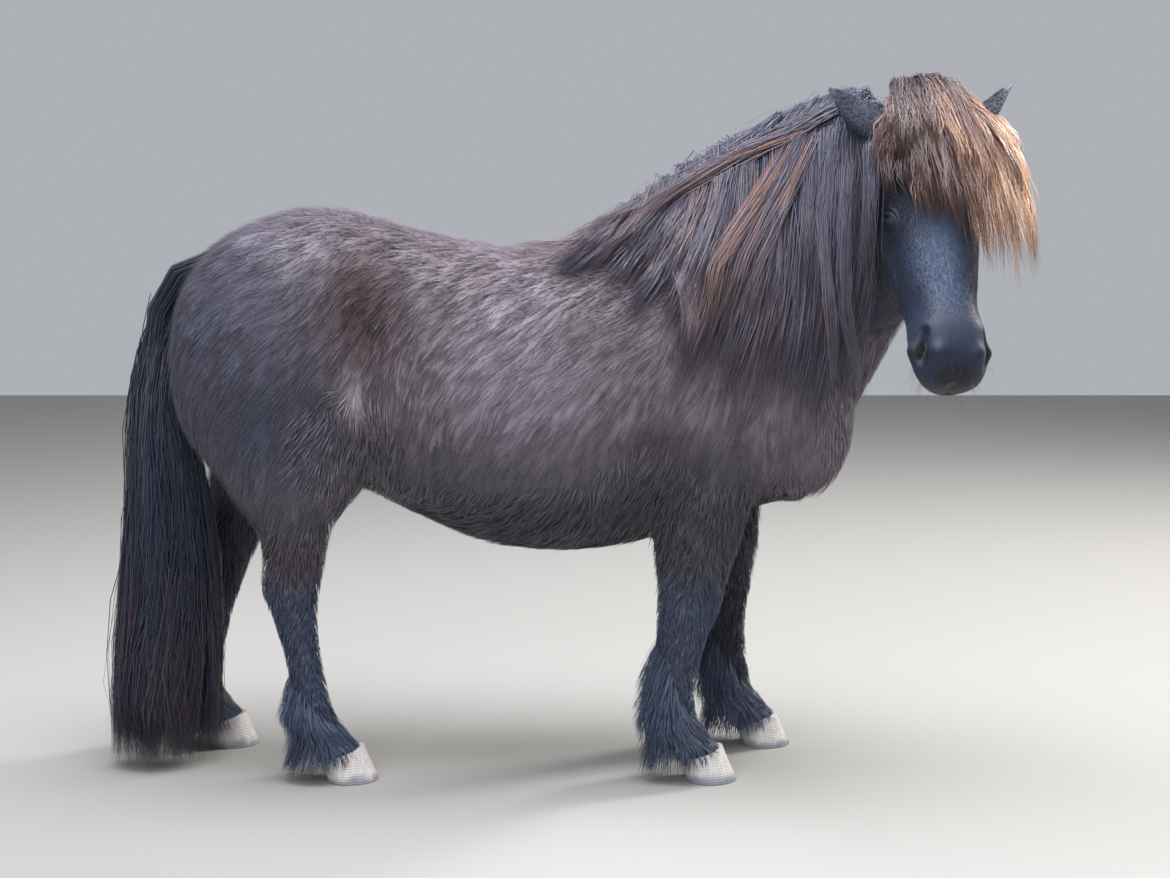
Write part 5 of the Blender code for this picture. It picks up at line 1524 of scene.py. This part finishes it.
def guide(rows, share):
    """The row that lies at a share of the way through rows."""
    at = share * (len(rows) - 1)
    low = min(int(at), len(rows) - 2)
    return [a + (b - a) * (at - low) for a, b in zip(rows[low], rows[low + 1])]


def crest_at(x):
    crest = np.array([row[0] for row in NECK])
    return Vector((x, np.interp(x, crest[:, 0], crest[:, 1]), np.interp(x, crest[:, 0], crest[:, 2])))


def crest_face(x):
    slope = crest_at(x + 0.02) - crest_at(x - 0.02)
    return Vector((-slope.z, 0.0, slope.x)).normalized()


def on_side(x, z, lift):
    """The point on the right side of the flesh at X and Z, lifted off it, and the way out of it."""
    hit, normal, _, _ = WORK["outer"].ray_cast(Vector((x, -1.0, z)), Vector((0.0, 1.0, 0.0)))
    if hit is None:
        hit, normal = Vector((x, crest_at(x).y, z)), Vector((0.0, -1.0, 0.0))
    return hit + normal * lift, normal


def on_side_rows(rows):
    """Places and ways out for rows of X, Z and lift."""
    found = [on_side(*row) for row in rows]
    return [place for place, _ in found], [face for _, face in found]


def mane_guides(rng):
    """Guides that leave the crest, arch over to the right and hang down over the neck."""
    rows = [(root, *end) for root, end in MANE]
    guides = []
    for layer, (count, across, rise, lift, length) in enumerate(MANE_LAYERS):
        for i in range(count):
            share = (i + rng.uniform(0.2, 0.8)) / count
            root, end_x, end_z = guide(rows, share)
            crest, upward = crest_at(root), crest_face(root)
            reach = length * rng.uniform(0.88, 1.08)
            start = Vector((root - 0.014, crest.z - 0.006))
            end = start + (Vector((end_x, end_z)) - start) * reach
            end.x += rng.uniform(-0.018, 0.018)
            bend = start.lerp(end, 0.45) + Vector((0.02 + 0.02 * share + rng.uniform(-0.012, 0.012), 0.0))
            high = 0.8 * rise * (1 + 0.12 * math.sin(23 * share + 2 * layer))
            places, faces = [], []
            for side, up, drop, y, z in MANE_ARCH:
                places.append(crest + Vector((-0.01 + 0.3 * side, across + side, -drop)) + upward * (high * up))
                faces.append(Vector((0.0, y, z)))
            hung = [(start.lerp(bend, t).lerp(bend.lerp(end, t), t), t) for t in (0.14, 0.32, 0.52, 0.76, 1.0)]
            side_places, side_faces = on_side_rows((at.x, at.y, lift * (1.15 - 0.5 * t)) for at, t in hung)
            places, faces = places + side_places, faces + side_faces
            red = (0.08, 0.2, 0.3)[layer] + 0.24 * math.sin(31 * share + 2 * layer)
            tone = 0.45 + rng.uniform(-0.2, 0.2) + 0.16 * math.sin(17 * share + layer)
            if share > 0.66:
                red, tone = 0.3 * red, tone - 0.14
            guides.append((places, faces, 0.03, tone, red))
    return guides


def hank_guides(rng):
    """Guides of the long hanks that lie over the mane, two to each hank."""
    guides = []
    for root, side_rows, lift, red in HANKS:
        for _ in range(2):
            crest, upward = crest_at(root), crest_face(root)
            places = [crest + Vector((0.0, 0.0, 0.0)), crest + upward * (lift * 0.9) + Vector((-0.01, -0.02, 0.0))]
            faces = [Vector((0.0, -0.7, 0.7)), Vector((0.0, -0.8, 0.6))]
            shift = Vector((rng.uniform(-0.012, 0.012), rng.uniform(-0.012, 0.012)))
            side_places, side_faces = on_side_rows((x + shift.x, z + shift.y, lift) for x, z in side_rows)
            guides.append((places + side_places, faces + side_faces, 0.018, 0.5, red - 0.1))
    # The hank that bends out of the shoulder hair and falls.
    for k in range(4):
        rows = ((x + 0.005 * k - 0.008, z + 0.003 * k, lift) for x, z, lift in SHOULDER_HANK)
        guides.append((*on_side_rows(rows), 0.012, 0.34, 0.5))
    return guides


def crest_guides(rng):
    """Guides that run back along the crest from the poll and then fall to the right."""
    guides = []
    for i in range(CREST_GUIDES):
        root = 0.535 - 0.44 * (i + rng.uniform(0, 1)) / CREST_GUIDES
        across, size = rng.uniform(-0.04, 0.034), rng.uniform(0.15, 0.27)
        places, faces = [crest_at(root) + Vector((0.012, across, -0.016))], [Vector((0.3, 0.0, 1.0))]
        for t in (0.1, 0.28, 0.46, 0.64, 0.82, 1.0):
            x = root - size * t
            high = np.interp(x, (0.05, 0.2, 0.54), (0.012, 0.026, 0.054)) * (1 - 0.5 * abs(across) / 0.04)
            side = across - 0.034 * t * t
            fall = 0.9 * max(abs(side) - 0.015, 0.0)
            places.append(crest_at(x) + crest_face(x) * (high * min(1.0, 5 * t)) + Vector((0.0, side, -fall)))
            faces.append(Vector((0.0, 1.2 * side / 0.05, 1.0)))
        guides.append((places, faces, 0.03, 0.4 + rng.uniform(-0.15, 0.15), rng.uniform(0.0, 0.55)))
    return guides


def far_guides(rng):
    """Guides of the short hair on the far side of the crest."""
    guides = []
    for i in range(FAR_GUIDES):
        root = 0.06 + 0.43 * (i + rng.uniform(0.2, 0.8)) / FAR_GUIDES
        crest, upward = crest_at(root), crest_face(root)
        places, faces = [crest + Vector((0.0, -0.012, -0.01))], [upward]
        size = 0.15 * rng.uniform(0.55, 1.1)
        for t, out in ((0.0, 0.026), (0.35, 0.06), (0.7, 0.083), (1.0, 0.094)):
            drop = size * (0.7 + 0.5 * i / FAR_GUIDES) * t
            places.append(crest + Vector((-0.01 - 0.4 * drop, out, 0.024 - 0.02 * (i / FAR_GUIDES) ** 2 - drop)))
            faces.append(Vector((0.0, 0.3 + t, 1.0 - 0.8 * t)))
        guides.append((places, faces, 0.03, 0.4, 0.2))
    return guides


def make_mane():
    """The mane: broad strands below, fine ones over them, long hanks, and the hair of the far side."""
    rng = np.random.default_rng(13)
    look = bpy.context.scene.pony_hair
    # The blue middle of the mane is partly a painted sky reflection.
    material = hair_material(
        "mane_hair", rgb(*look.mane_root), rgb(0.1, 0.092, 0.14), rgb(*look.mane_tip), rgb(0.36, 0.18, 0.118)
    )
    fine, broad = ((look.lock_strands, look.lock_strands * 3 // 5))

    def lay(name, guides, each, width, spread, clump, wave, frizz):
        made = wisps(guides, rng, each, 8, spread, clump, wave, frizz, width, bunched=MANE_BUNCHED)
        hair_piece(name, made, material, bunched=MANE_BUNCHED)

    guides = mane_guides(rng)
    under, over = guides[:MANE_LAYERS[0][0]], guides[MANE_LAYERS[0][0]:]
    lay("mane_under", under, broad, 2 * look.strand_width, 0.7, 0.4, 0.0045, 0.001)
    lay("mane_over", over, fine, look.strand_width, 0.66, 0.7, 0.0075, 0.0024)
    loose = hank_guides(rng) + far_guides(rng) + crest_guides(rng)
    lay("mane_hanks", loose, fine * 2 // 3, look.strand_width, 0.7, 0.6, 0.006, 0.0026)


def make_forelock():
    """The forelock: hair from behind and between the ears that falls over the face, most of it to the left."""
    rng = np.random.default_rng(17)
    place = head_frame()
    rows = [(root, *end) for root, end in FORELOCK]
    guides = []
    for layer, (count, behind, rise, lift, length) in enumerate(FORELOCK_LAYERS):
        for i in range(count):
            share = (i + rng.uniform(0.2, 0.8)) / count
            root, x, y, z = guide(rows, share)
            high = rise * (1.0 - 240 * root * root) * np.interp(root, (-0.034, 0.012), (0.35, 1.0))
            high *= rng.uniform(0.8, 1.1)
            over = Vector((behind - 0.012 + rng.uniform(-0.008, 0.008), 1.3 * root, high))
            size = length * rng.uniform(0.66, 1.06) * (0.8 if share < 0.35 and rng.random() < 0.4 else 1.0)
            end = Vector((x * size, y + rng.uniform(-0.016, 0.016), z + lift + rng.uniform(-0.006, 0.01)))
            sweep = 0.34 - 1.5 * max(y, 0.0)
            bend = Vector((sweep * x, 1.16 * y + rng.uniform(-0.006, 0.006), 0.06 + lift - 0.2 * abs(y)))
            low = Vector((behind - 0.052, 0.8 * root, -0.034))
            places = [low, Vector((behind - 0.04, 1.1 * root, 0.6 * high)), over]
            places += [over.lerp(bend, t).lerp(bend.lerp(end, t), t) for t in (0.2, 0.4, 0.6, 0.8, 1.0)]
            faces = [Vector((-1.0, 0.0, 0.6)), Vector((-0.8, 0.0, 1.0)), Vector((-0.2, 0.0, 1.0))]
            faces += [Vector((0.0, 4.0 * p.y, 0.6)) for p in places[3:]]
            red = np.interp(share, (0.0, 0.3, 0.55, 0.8, 1.0), (0.0, 0.12, 0.42, 0.72, 0.95)) + rng.uniform(-0.26, 0.1)
            guides.append((
                [place @ p for p in places], [place.to_3x3() @ f for f in faces], 0.024,
                0.34 + 0.14 * share + rng.choice((-0.28, -0.08, 0.18)), red,
            ))
    look = bpy.context.scene.pony_hair
    material = hair_material(
        "forelock_hair", rgb(*look.forelock_root), rgb(0.12, 0.056, 0.05), rgb(*look.forelock_tip),
        rgb(0.5, 0.23, 0.14), 0.36,
    )
    made = wisps(guides, rng, FORELOCK_STRANDS, 8, 0.66, 0.82, 0.0095, 0.0032, FORELOCK_WIDTH)
    hair_piece("forelock", made, material)


def tail_at(z, turn, share):
    """A point of the tail at a height, a turn about its middle and a share of its half thickness."""
    rows = np.array(TAIL)[::-1]
    x, y, length, width = (np.interp(z, rows[:, 0], rows[:, k]) for k in (1, 2, 3, 4))
    share *= 1 - np.interp(z, (0.2, 0.5, 0.75), (0.04, 0.16, 0.45)) * (1 - math.cos(turn)) / 2
    return Vector((x + length * share * math.cos(turn), y + width * share * math.sin(turn), z))


def dock_at(z):
    rows = np.array([(height, -behind) for behind, height in DOCK])[::-1]
    return Vector((np.interp(z, rows[:, 0], rows[:, 1]), TAIL_Y, z))


def make_tail():
    """The tail in layers about the dock, hair that runs on from the croup, and the dock itself."""
    rng = np.random.default_rng(19)
    guides = []
    for count, share, high, low in TAIL_LAYERS:
        for i in range(count):
            turn = 2 * math.pi * (i + rng.uniform(0.1, 0.9)) / count
            behind = (1 - math.cos(turn)) / 2
            root = low + (high - low) * behind * rng.uniform(0.85, 1.04)
            tip = 0.003 + 0.03 * rng.random() ** 3
            dock = dock_at(root)
            places, faces = [dock], [Vector((math.cos(turn), math.sin(turn), 0.4))]
            sway = rng.uniform(0.0, 6.3)
            for k, t in enumerate((0.1, 0.24, 0.4, 0.56, 0.72, 0.86, 1.0)):
                z = root - (root - tip) * t
                at = tail_at(z, turn + 0.2 * math.sin(5 * t + sway), share * (1.0 if k < 6 else 0.86))
                if k == 0:
                    at = at.lerp(Vector((dock.x, dock.y, z)), 0.3)
                places.append(at)
                faces.append(Vector((math.cos(turn), math.sin(turn), 0.0)))
            guides.append((places, faces, 0.03, 0.42 + rng.uniform(-0.2, 0.2), 0.1 + 0.7 * rng.random() ** 2))
    for i in range(TAIL_TOP_GUIDES):
        across = (i + 0.5) / (TAIL_TOP_GUIDES / 2) - 1
        places, faces = [], []
        for k, (x, z) in enumerate(TAIL_TOP):
            places.append(Vector((x + 0.03 * across**2, (0.02 + 0.004 * k) * across + TAIL_Y, z - 0.012 * across**2)))
            faces.append(Vector((-0.3 * k, 0.6 * across, 1.0)))
        for z in (0.54, 0.36, 0.18, 0.006):
            turn = math.pi - 1.5 * across
            places.append(tail_at(z, turn, 1.02))
            faces.append(Vector((math.cos(turn), math.sin(turn), 0.0)))
        guides.append((places, faces, 0.02, 0.42 + rng.uniform(-0.2, 0.2), 0.2))
    # The blue of the tail is partly a painted sky reflection.
    material = hair_material(
        "tail_hair", rgb(0.006, 0.012, 0.03), rgb(*bpy.context.scene.pony_hair.tail), rgb(0.1, 0.046, 0.042),
        rgb(0.018, 0.016, 0.028), 0.34,
    )
    settings = dict(spread=0.85, clump=0.48, wave=0.02, frizz=0.0046, width=TAIL_WIDTH, least=0.95)
    made = wisps(guides, rng, TAIL_STRANDS, 11, bunched=TAIL_BUNCHED, **settings)
    tail = hair_piece("tail_hair", made, material, 0.008, TAIL_BUNCHED)
    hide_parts("tail")
    # The dock under the hair is a piece of skin of its own.
    rows = [(-behind, TAIL_Y * min(i, 1), z, 0.016 - 0.002 * i) for i, (behind, z) in enumerate(DOCK)]
    points = curve_through(rows, 4)
    rings = []
    for i, (x, y, z, radius) in enumerate(points):
        along = Vector(points[min(i + 1, len(points) - 1)][:3]) - Vector(points[max(i - 1, 0)][:3])
        turn = along.to_track_quat("Z", "Y")
        across, up = oval(20)
        rings.append([Vector((x, y, z)) + turn @ Vector((radius * a, radius * u, 0.0)) for a, u in zip(across, up)])
    bm = bmesh.new()
    loft(bm, rings)
    dock = put_mesh("dock", bm)
    dock.data.transform(Matrix.Translation(STAND))
    dock.data.shade_smooth()
    finished(dock, material)


def make_feather():
    """Long hair all round each lower leg, which falls over the heel and the sides of the hoof."""
    rng = np.random.default_rng(23)
    # The blue of the feather is partly a painted sky reflection.
    material = hair_material(
        "feather_hair", rgb(0.036, 0.05, 0.096), rgb(*bpy.context.scene.pony_hair.feather), rgb(0.05, 0.05, 0.07),
        rgb(0.06, 0.048, 0.052), 0.4,
    )
    count = FEATHER_STRANDS
    t = np.linspace(0, 1, 5)[None]
    for name, (side, sections, forward) in LEGS.items():
        heights, lengths, widths = (np.array([row[k] for row in sections])[::-1] for k in range(3))
        ahead = np.array(forward)[::-1]
        fore = sections is FORE_LEG
        turn = rng.uniform(-np.pi, np.pi, count)
        back = (1 - np.cos(turn)) / 2
        turn = np.where(rng.random(count) < 0.35 * (1 - back), np.pi + 0.6 * rng.normal(size=count), turn)
        back = (1 - np.cos(turn)) / 2
        high = (0.075 + 0.15 * back if fore else 0.07 + 0.09 * back)
        root = 0.052 + (high - 0.02) * rng.random(count) ** 0.8
        hang = (0.026 + 0.066 * back**1.2) * rng.uniform(0.7, 1.15, count)
        tip = np.maximum(root - hang, 0.032 - 0.024 * back**0.8 + rng.uniform(0, 0.014, count))
        root, tip = root[:, None], tip[:, None]
        behind = back[:, None]
        z = root - (root - tip) * t
        # The hair at the back hangs straight, the hair in front follows the pastern.
        follow = np.maximum(z, 0.052 + 0.03 * behind)
        middle = np.interp(follow, heights, ahead)
        long, wide = np.interp(z, heights, lengths), np.interp(z, heights, widths)
        c, s = np.cos(turn)[:, None], np.sin(turn)[:, None]
        core = 1 / np.sqrt((c / long) ** 2 + (s / wide) ** 2)
        inside = np.interp(root, (0.045, 0.07, 0.5), (0.003, 0.008, 0.008)) + 0.001
        out = 0.005 + 0.02 * behind**1.4 + 0.006 * np.sin(turn)[:, None] ** 2
        reach = core - inside * (1 - t**0.7) + t**0.8 * out * rng.uniform(0.4, 1.25, (count, 1))
        sway = rng.normal(0, 0.1, (count, 1)) * t
        c, s = np.cos(turn[:, None] + sway), np.sin(turn[:, None] + sway)
        paths = np.stack([middle + reach * c, side * LEG_Y + reach * s, z], 2)
        faces = np.stack([c, s, np.zeros_like(c)], 2)
        tones = np.clip(0.45 + 0.25 * noise(paths[:, 0], 0.012, 41) + rng.normal(0, 0.15, count), 0, 1)
        made = (paths, faces, FEATHER_WIDTH * rng.uniform(0.7, 1.4, count), tones, rng.uniform(0, 0.35, count),
                np.stack([(turn / np.pi % 2) / 2, root[:, 0] / 0.3], 1))
        hair_piece("feather_" + name, made, material, bunched=1.0)


def make_whiskers():
    """Fine long hairs on the lips and chin, and a few under the jaw."""
    rng = np.random.default_rng(29)
    count = WHISKERS
    t = rng.random(count)
    x = np.where(t < 0.55, rng.uniform(0.385, 0.46, count), rng.uniform(0.37, 0.425, count))
    y = rng.uniform(-0.06, 0.06, count)
    z = np.where(t < 0.55, rng.uniform(-0.1, -0.055, count), rng.uniform(-0.15, -0.12, count))
    root, normal, _ = nearest(WORK["skin_tree"], carried(np.stack([x, y, z], 1), head_frame()))
    length = rng.uniform(0.015, 0.04, count)[:, None]
    droop = np.array((0.0, 0.0, -1.0))
    way = unit(normal + 0.6 * droop + rng.normal(0, 0.18, (count, 3)))
    bent = [root + way * length * s + droop * length * 0.4 * s * s for s in (0.3, 0.65, 1.0)]
    paths = np.stack([root - normal * 0.001, *bent], 1)
    roots = np.stack([rng.random(count), rng.random(count)], 1)
    faces, widths = np.repeat(normal[:, None], 4, 1) + 0.01, np.full(count, WHISKER_WIDTH)
    strands("whiskers", paths, faces, widths, 0.8, WORK["lash"], roots, rng.uniform(0.2, 0.6, count),
            np.zeros(count))


# Stage ----------------------------------------------------------------------------------------------


def make_stage():
    """A pale floor, soft light all round, a soft light high at the right and the camera."""
    deselect()
    bpy.ops.mesh.primitive_plane_add(size=16.0, location=(0.0, 0.0, 0.0))
    floor = named("floor")
    material, g, shader = new_material("floor")
    look = bpy.context.scene.pony_stage
    powers = {"sky": look.sky_power, "sun": look.sun_power, "fill": look.fill_power}
    g.fix(shader, {"Base Color": rgb(*look.floor), "Roughness": 0.9})
    floor.data.materials.append(material)
    world = bpy.context.scene.world or bpy.data.worlds.new("world")
    bpy.context.scene.world = world
    world.use_nodes = True
    background = next(n for n in world.node_tree.nodes if n.type == "BACKGROUND")
    background.inputs[0].default_value = rgb(0.88, 0.91, 0.98)
    background.inputs[1].default_value = 0.48
    bpy.context.scene.view_settings.view_transform = "Standard"
    for name, (where, target, size, colour) in LIGHTS.items():
        data = bpy.data.lights.new(name, "AREA")
        data.shape, data.size, data.energy, data.color = "SQUARE", size, powers[name], colour
        light = linked(name, data)
        light.location = where
        light.rotation_euler = (Vector(target) - Vector(where)).to_track_quat("-Z", "Y").to_euler()
    data = bpy.data.cameras.new("camera")
    data.sensor_fit, data.sensor_width, data.lens = "HORIZONTAL", SENSOR, LENS
    camera = linked("camera", data)
    camera.location = CAMERA + STAND
    camera.rotation_euler = (math.radians(90 - CAMERA_DROOP), 0.0, 0.0)
    bpy.context.scene.camera = camera


# Operators ------------------------------------------------------------------------------------------


class Step:
    """What every operator does: it calls the function that makes its pieces."""

    def execute(self, context):
        self.make()
        return {"FINISHED"}


class PONY_OT_stage(Step, bpy.types.Operator):
    """Set the floor, the lights and the camera"""

    bl_idname, bl_label, make = "pony.stage", "Stage", staticmethod(make_stage)


class PONY_OT_skin(Step, bpy.types.Operator):
    """Make one skin from the lips to the dock, inside the coat"""

    bl_idname, bl_label, make = "pony.skin", "Skin", staticmethod(make_skin)


class PONY_OT_lids(Step, bpy.types.Operator):
    """Fold the lids round each eye"""

    bl_idname, bl_label, make = "pony.lids", "Lids and lashes", staticmethod(make_lids)


class PONY_OT_eyes(Step, bpy.types.Operator):
    """Make both eyeballs"""

    bl_idname, bl_label, make = "pony.eyes", "Eyes", staticmethod(make_eyes)


class PONY_OT_hooves(Step, bpy.types.Operator):
    """Draw up the four hooves"""

    bl_idname, bl_label, make = "pony.hooves", "Hooves", staticmethod(make_hooves)


class PONY_OT_coat(Step, bpy.types.Operator):
    """Cover the skin with tufts that lie along the body"""

    bl_idname, bl_label, make = "pony.coat", "Coat", staticmethod(make_coat)


class PONY_OT_ear_hair(Step, bpy.types.Operator):
    """Cover the ears with short hair"""

    bl_idname, bl_label, make = "pony.ear_hair", "Ear hair", staticmethod(make_ear_hair)


class PONY_OT_mane(Step, bpy.types.Operator):
    """Hang the mane over the right side of the neck"""

    bl_idname, bl_label, make = "pony.mane", "Mane", staticmethod(make_mane)


class PONY_OT_forelock(Step, bpy.types.Operator):
    """Let the forelock fall over the face"""

    bl_idname, bl_label, make = "pony.forelock", "Forelock", staticmethod(make_forelock)


class PONY_OT_tail(Step, bpy.types.Operator):
    """Make the tail and its dock"""

    bl_idname, bl_label, make = "pony.tail", "Tail", staticmethod(make_tail)


class PONY_OT_feather(Step, bpy.types.Operator):
    """Make the long hair of the lower legs"""

    bl_idname, bl_label, make = "pony.feather", "Feather", staticmethod(make_feather)


class PONY_OT_whiskers(Step, bpy.types.Operator):
    """Make the fine hairs of the lips and chin"""

    bl_idname, bl_label, make = "pony.whiskers", "Whiskers", staticmethod(make_whiskers)


class PONY_PT_pieces(bpy.types.Panel):
    """Lists the pieces in the order they are made, and what can be changed"""

    bl_label = "Shetland Pony"
    bl_idname = "PONY_PT_pieces"
    bl_space_type = "VIEW_3D"
    bl_region_type = "UI"
    bl_category = "Pony"

    def draw(self, context):
        for group in (context.scene.pony_coat, context.scene.pony_hair, context.scene.pony_stage):
            box = self.layout.box()
            for name in type(group).__annotations__:
                box.prop(group, name)
        for operator in OPERATORS:
            self.layout.operator(operator.bl_idname)


GROUPS = {"pony_coat": PonyCoat, "pony_hair": PonyHair, "pony_stage": PonyStage}
OPERATORS = (
    PONY_OT_stage, PONY_OT_skin, PONY_OT_lids, PONY_OT_eyes, PONY_OT_hooves, PONY_OT_coat, PONY_OT_ear_hair,
    PONY_OT_mane, PONY_OT_forelock, PONY_OT_tail, PONY_OT_feather, PONY_OT_whiskers,
)


def register():
    for name, group in GROUPS.items():
        bpy.utils.register_class(group)
        setattr(bpy.types.Scene, name, bpy.props.PointerProperty(type=group))
    for kind in (*OPERATORS, PONY_PT_pieces):
        bpy.utils.register_class(kind)


def unregister():
    for kind in (PONY_PT_pieces, *reversed(OPERATORS)):
        bpy.utils.unregister_class(kind)
    for name, group in GROUPS.items():
        delattr(bpy.types.Scene, name)
        bpy.utils.unregister_class(group)


def main():
    register()
    pony = bpy.ops.pony
    pony.stage()
    pony.skin()
    pony.lids()
    pony.eyes()
    pony.hooves()
    pony.coat()
    pony.ear_hair()
    pony.mane()
    pony.forelock()
    pony.tail()
    pony.feather()
    pony.whiskers()


if __name__ == "__main__":
    main()
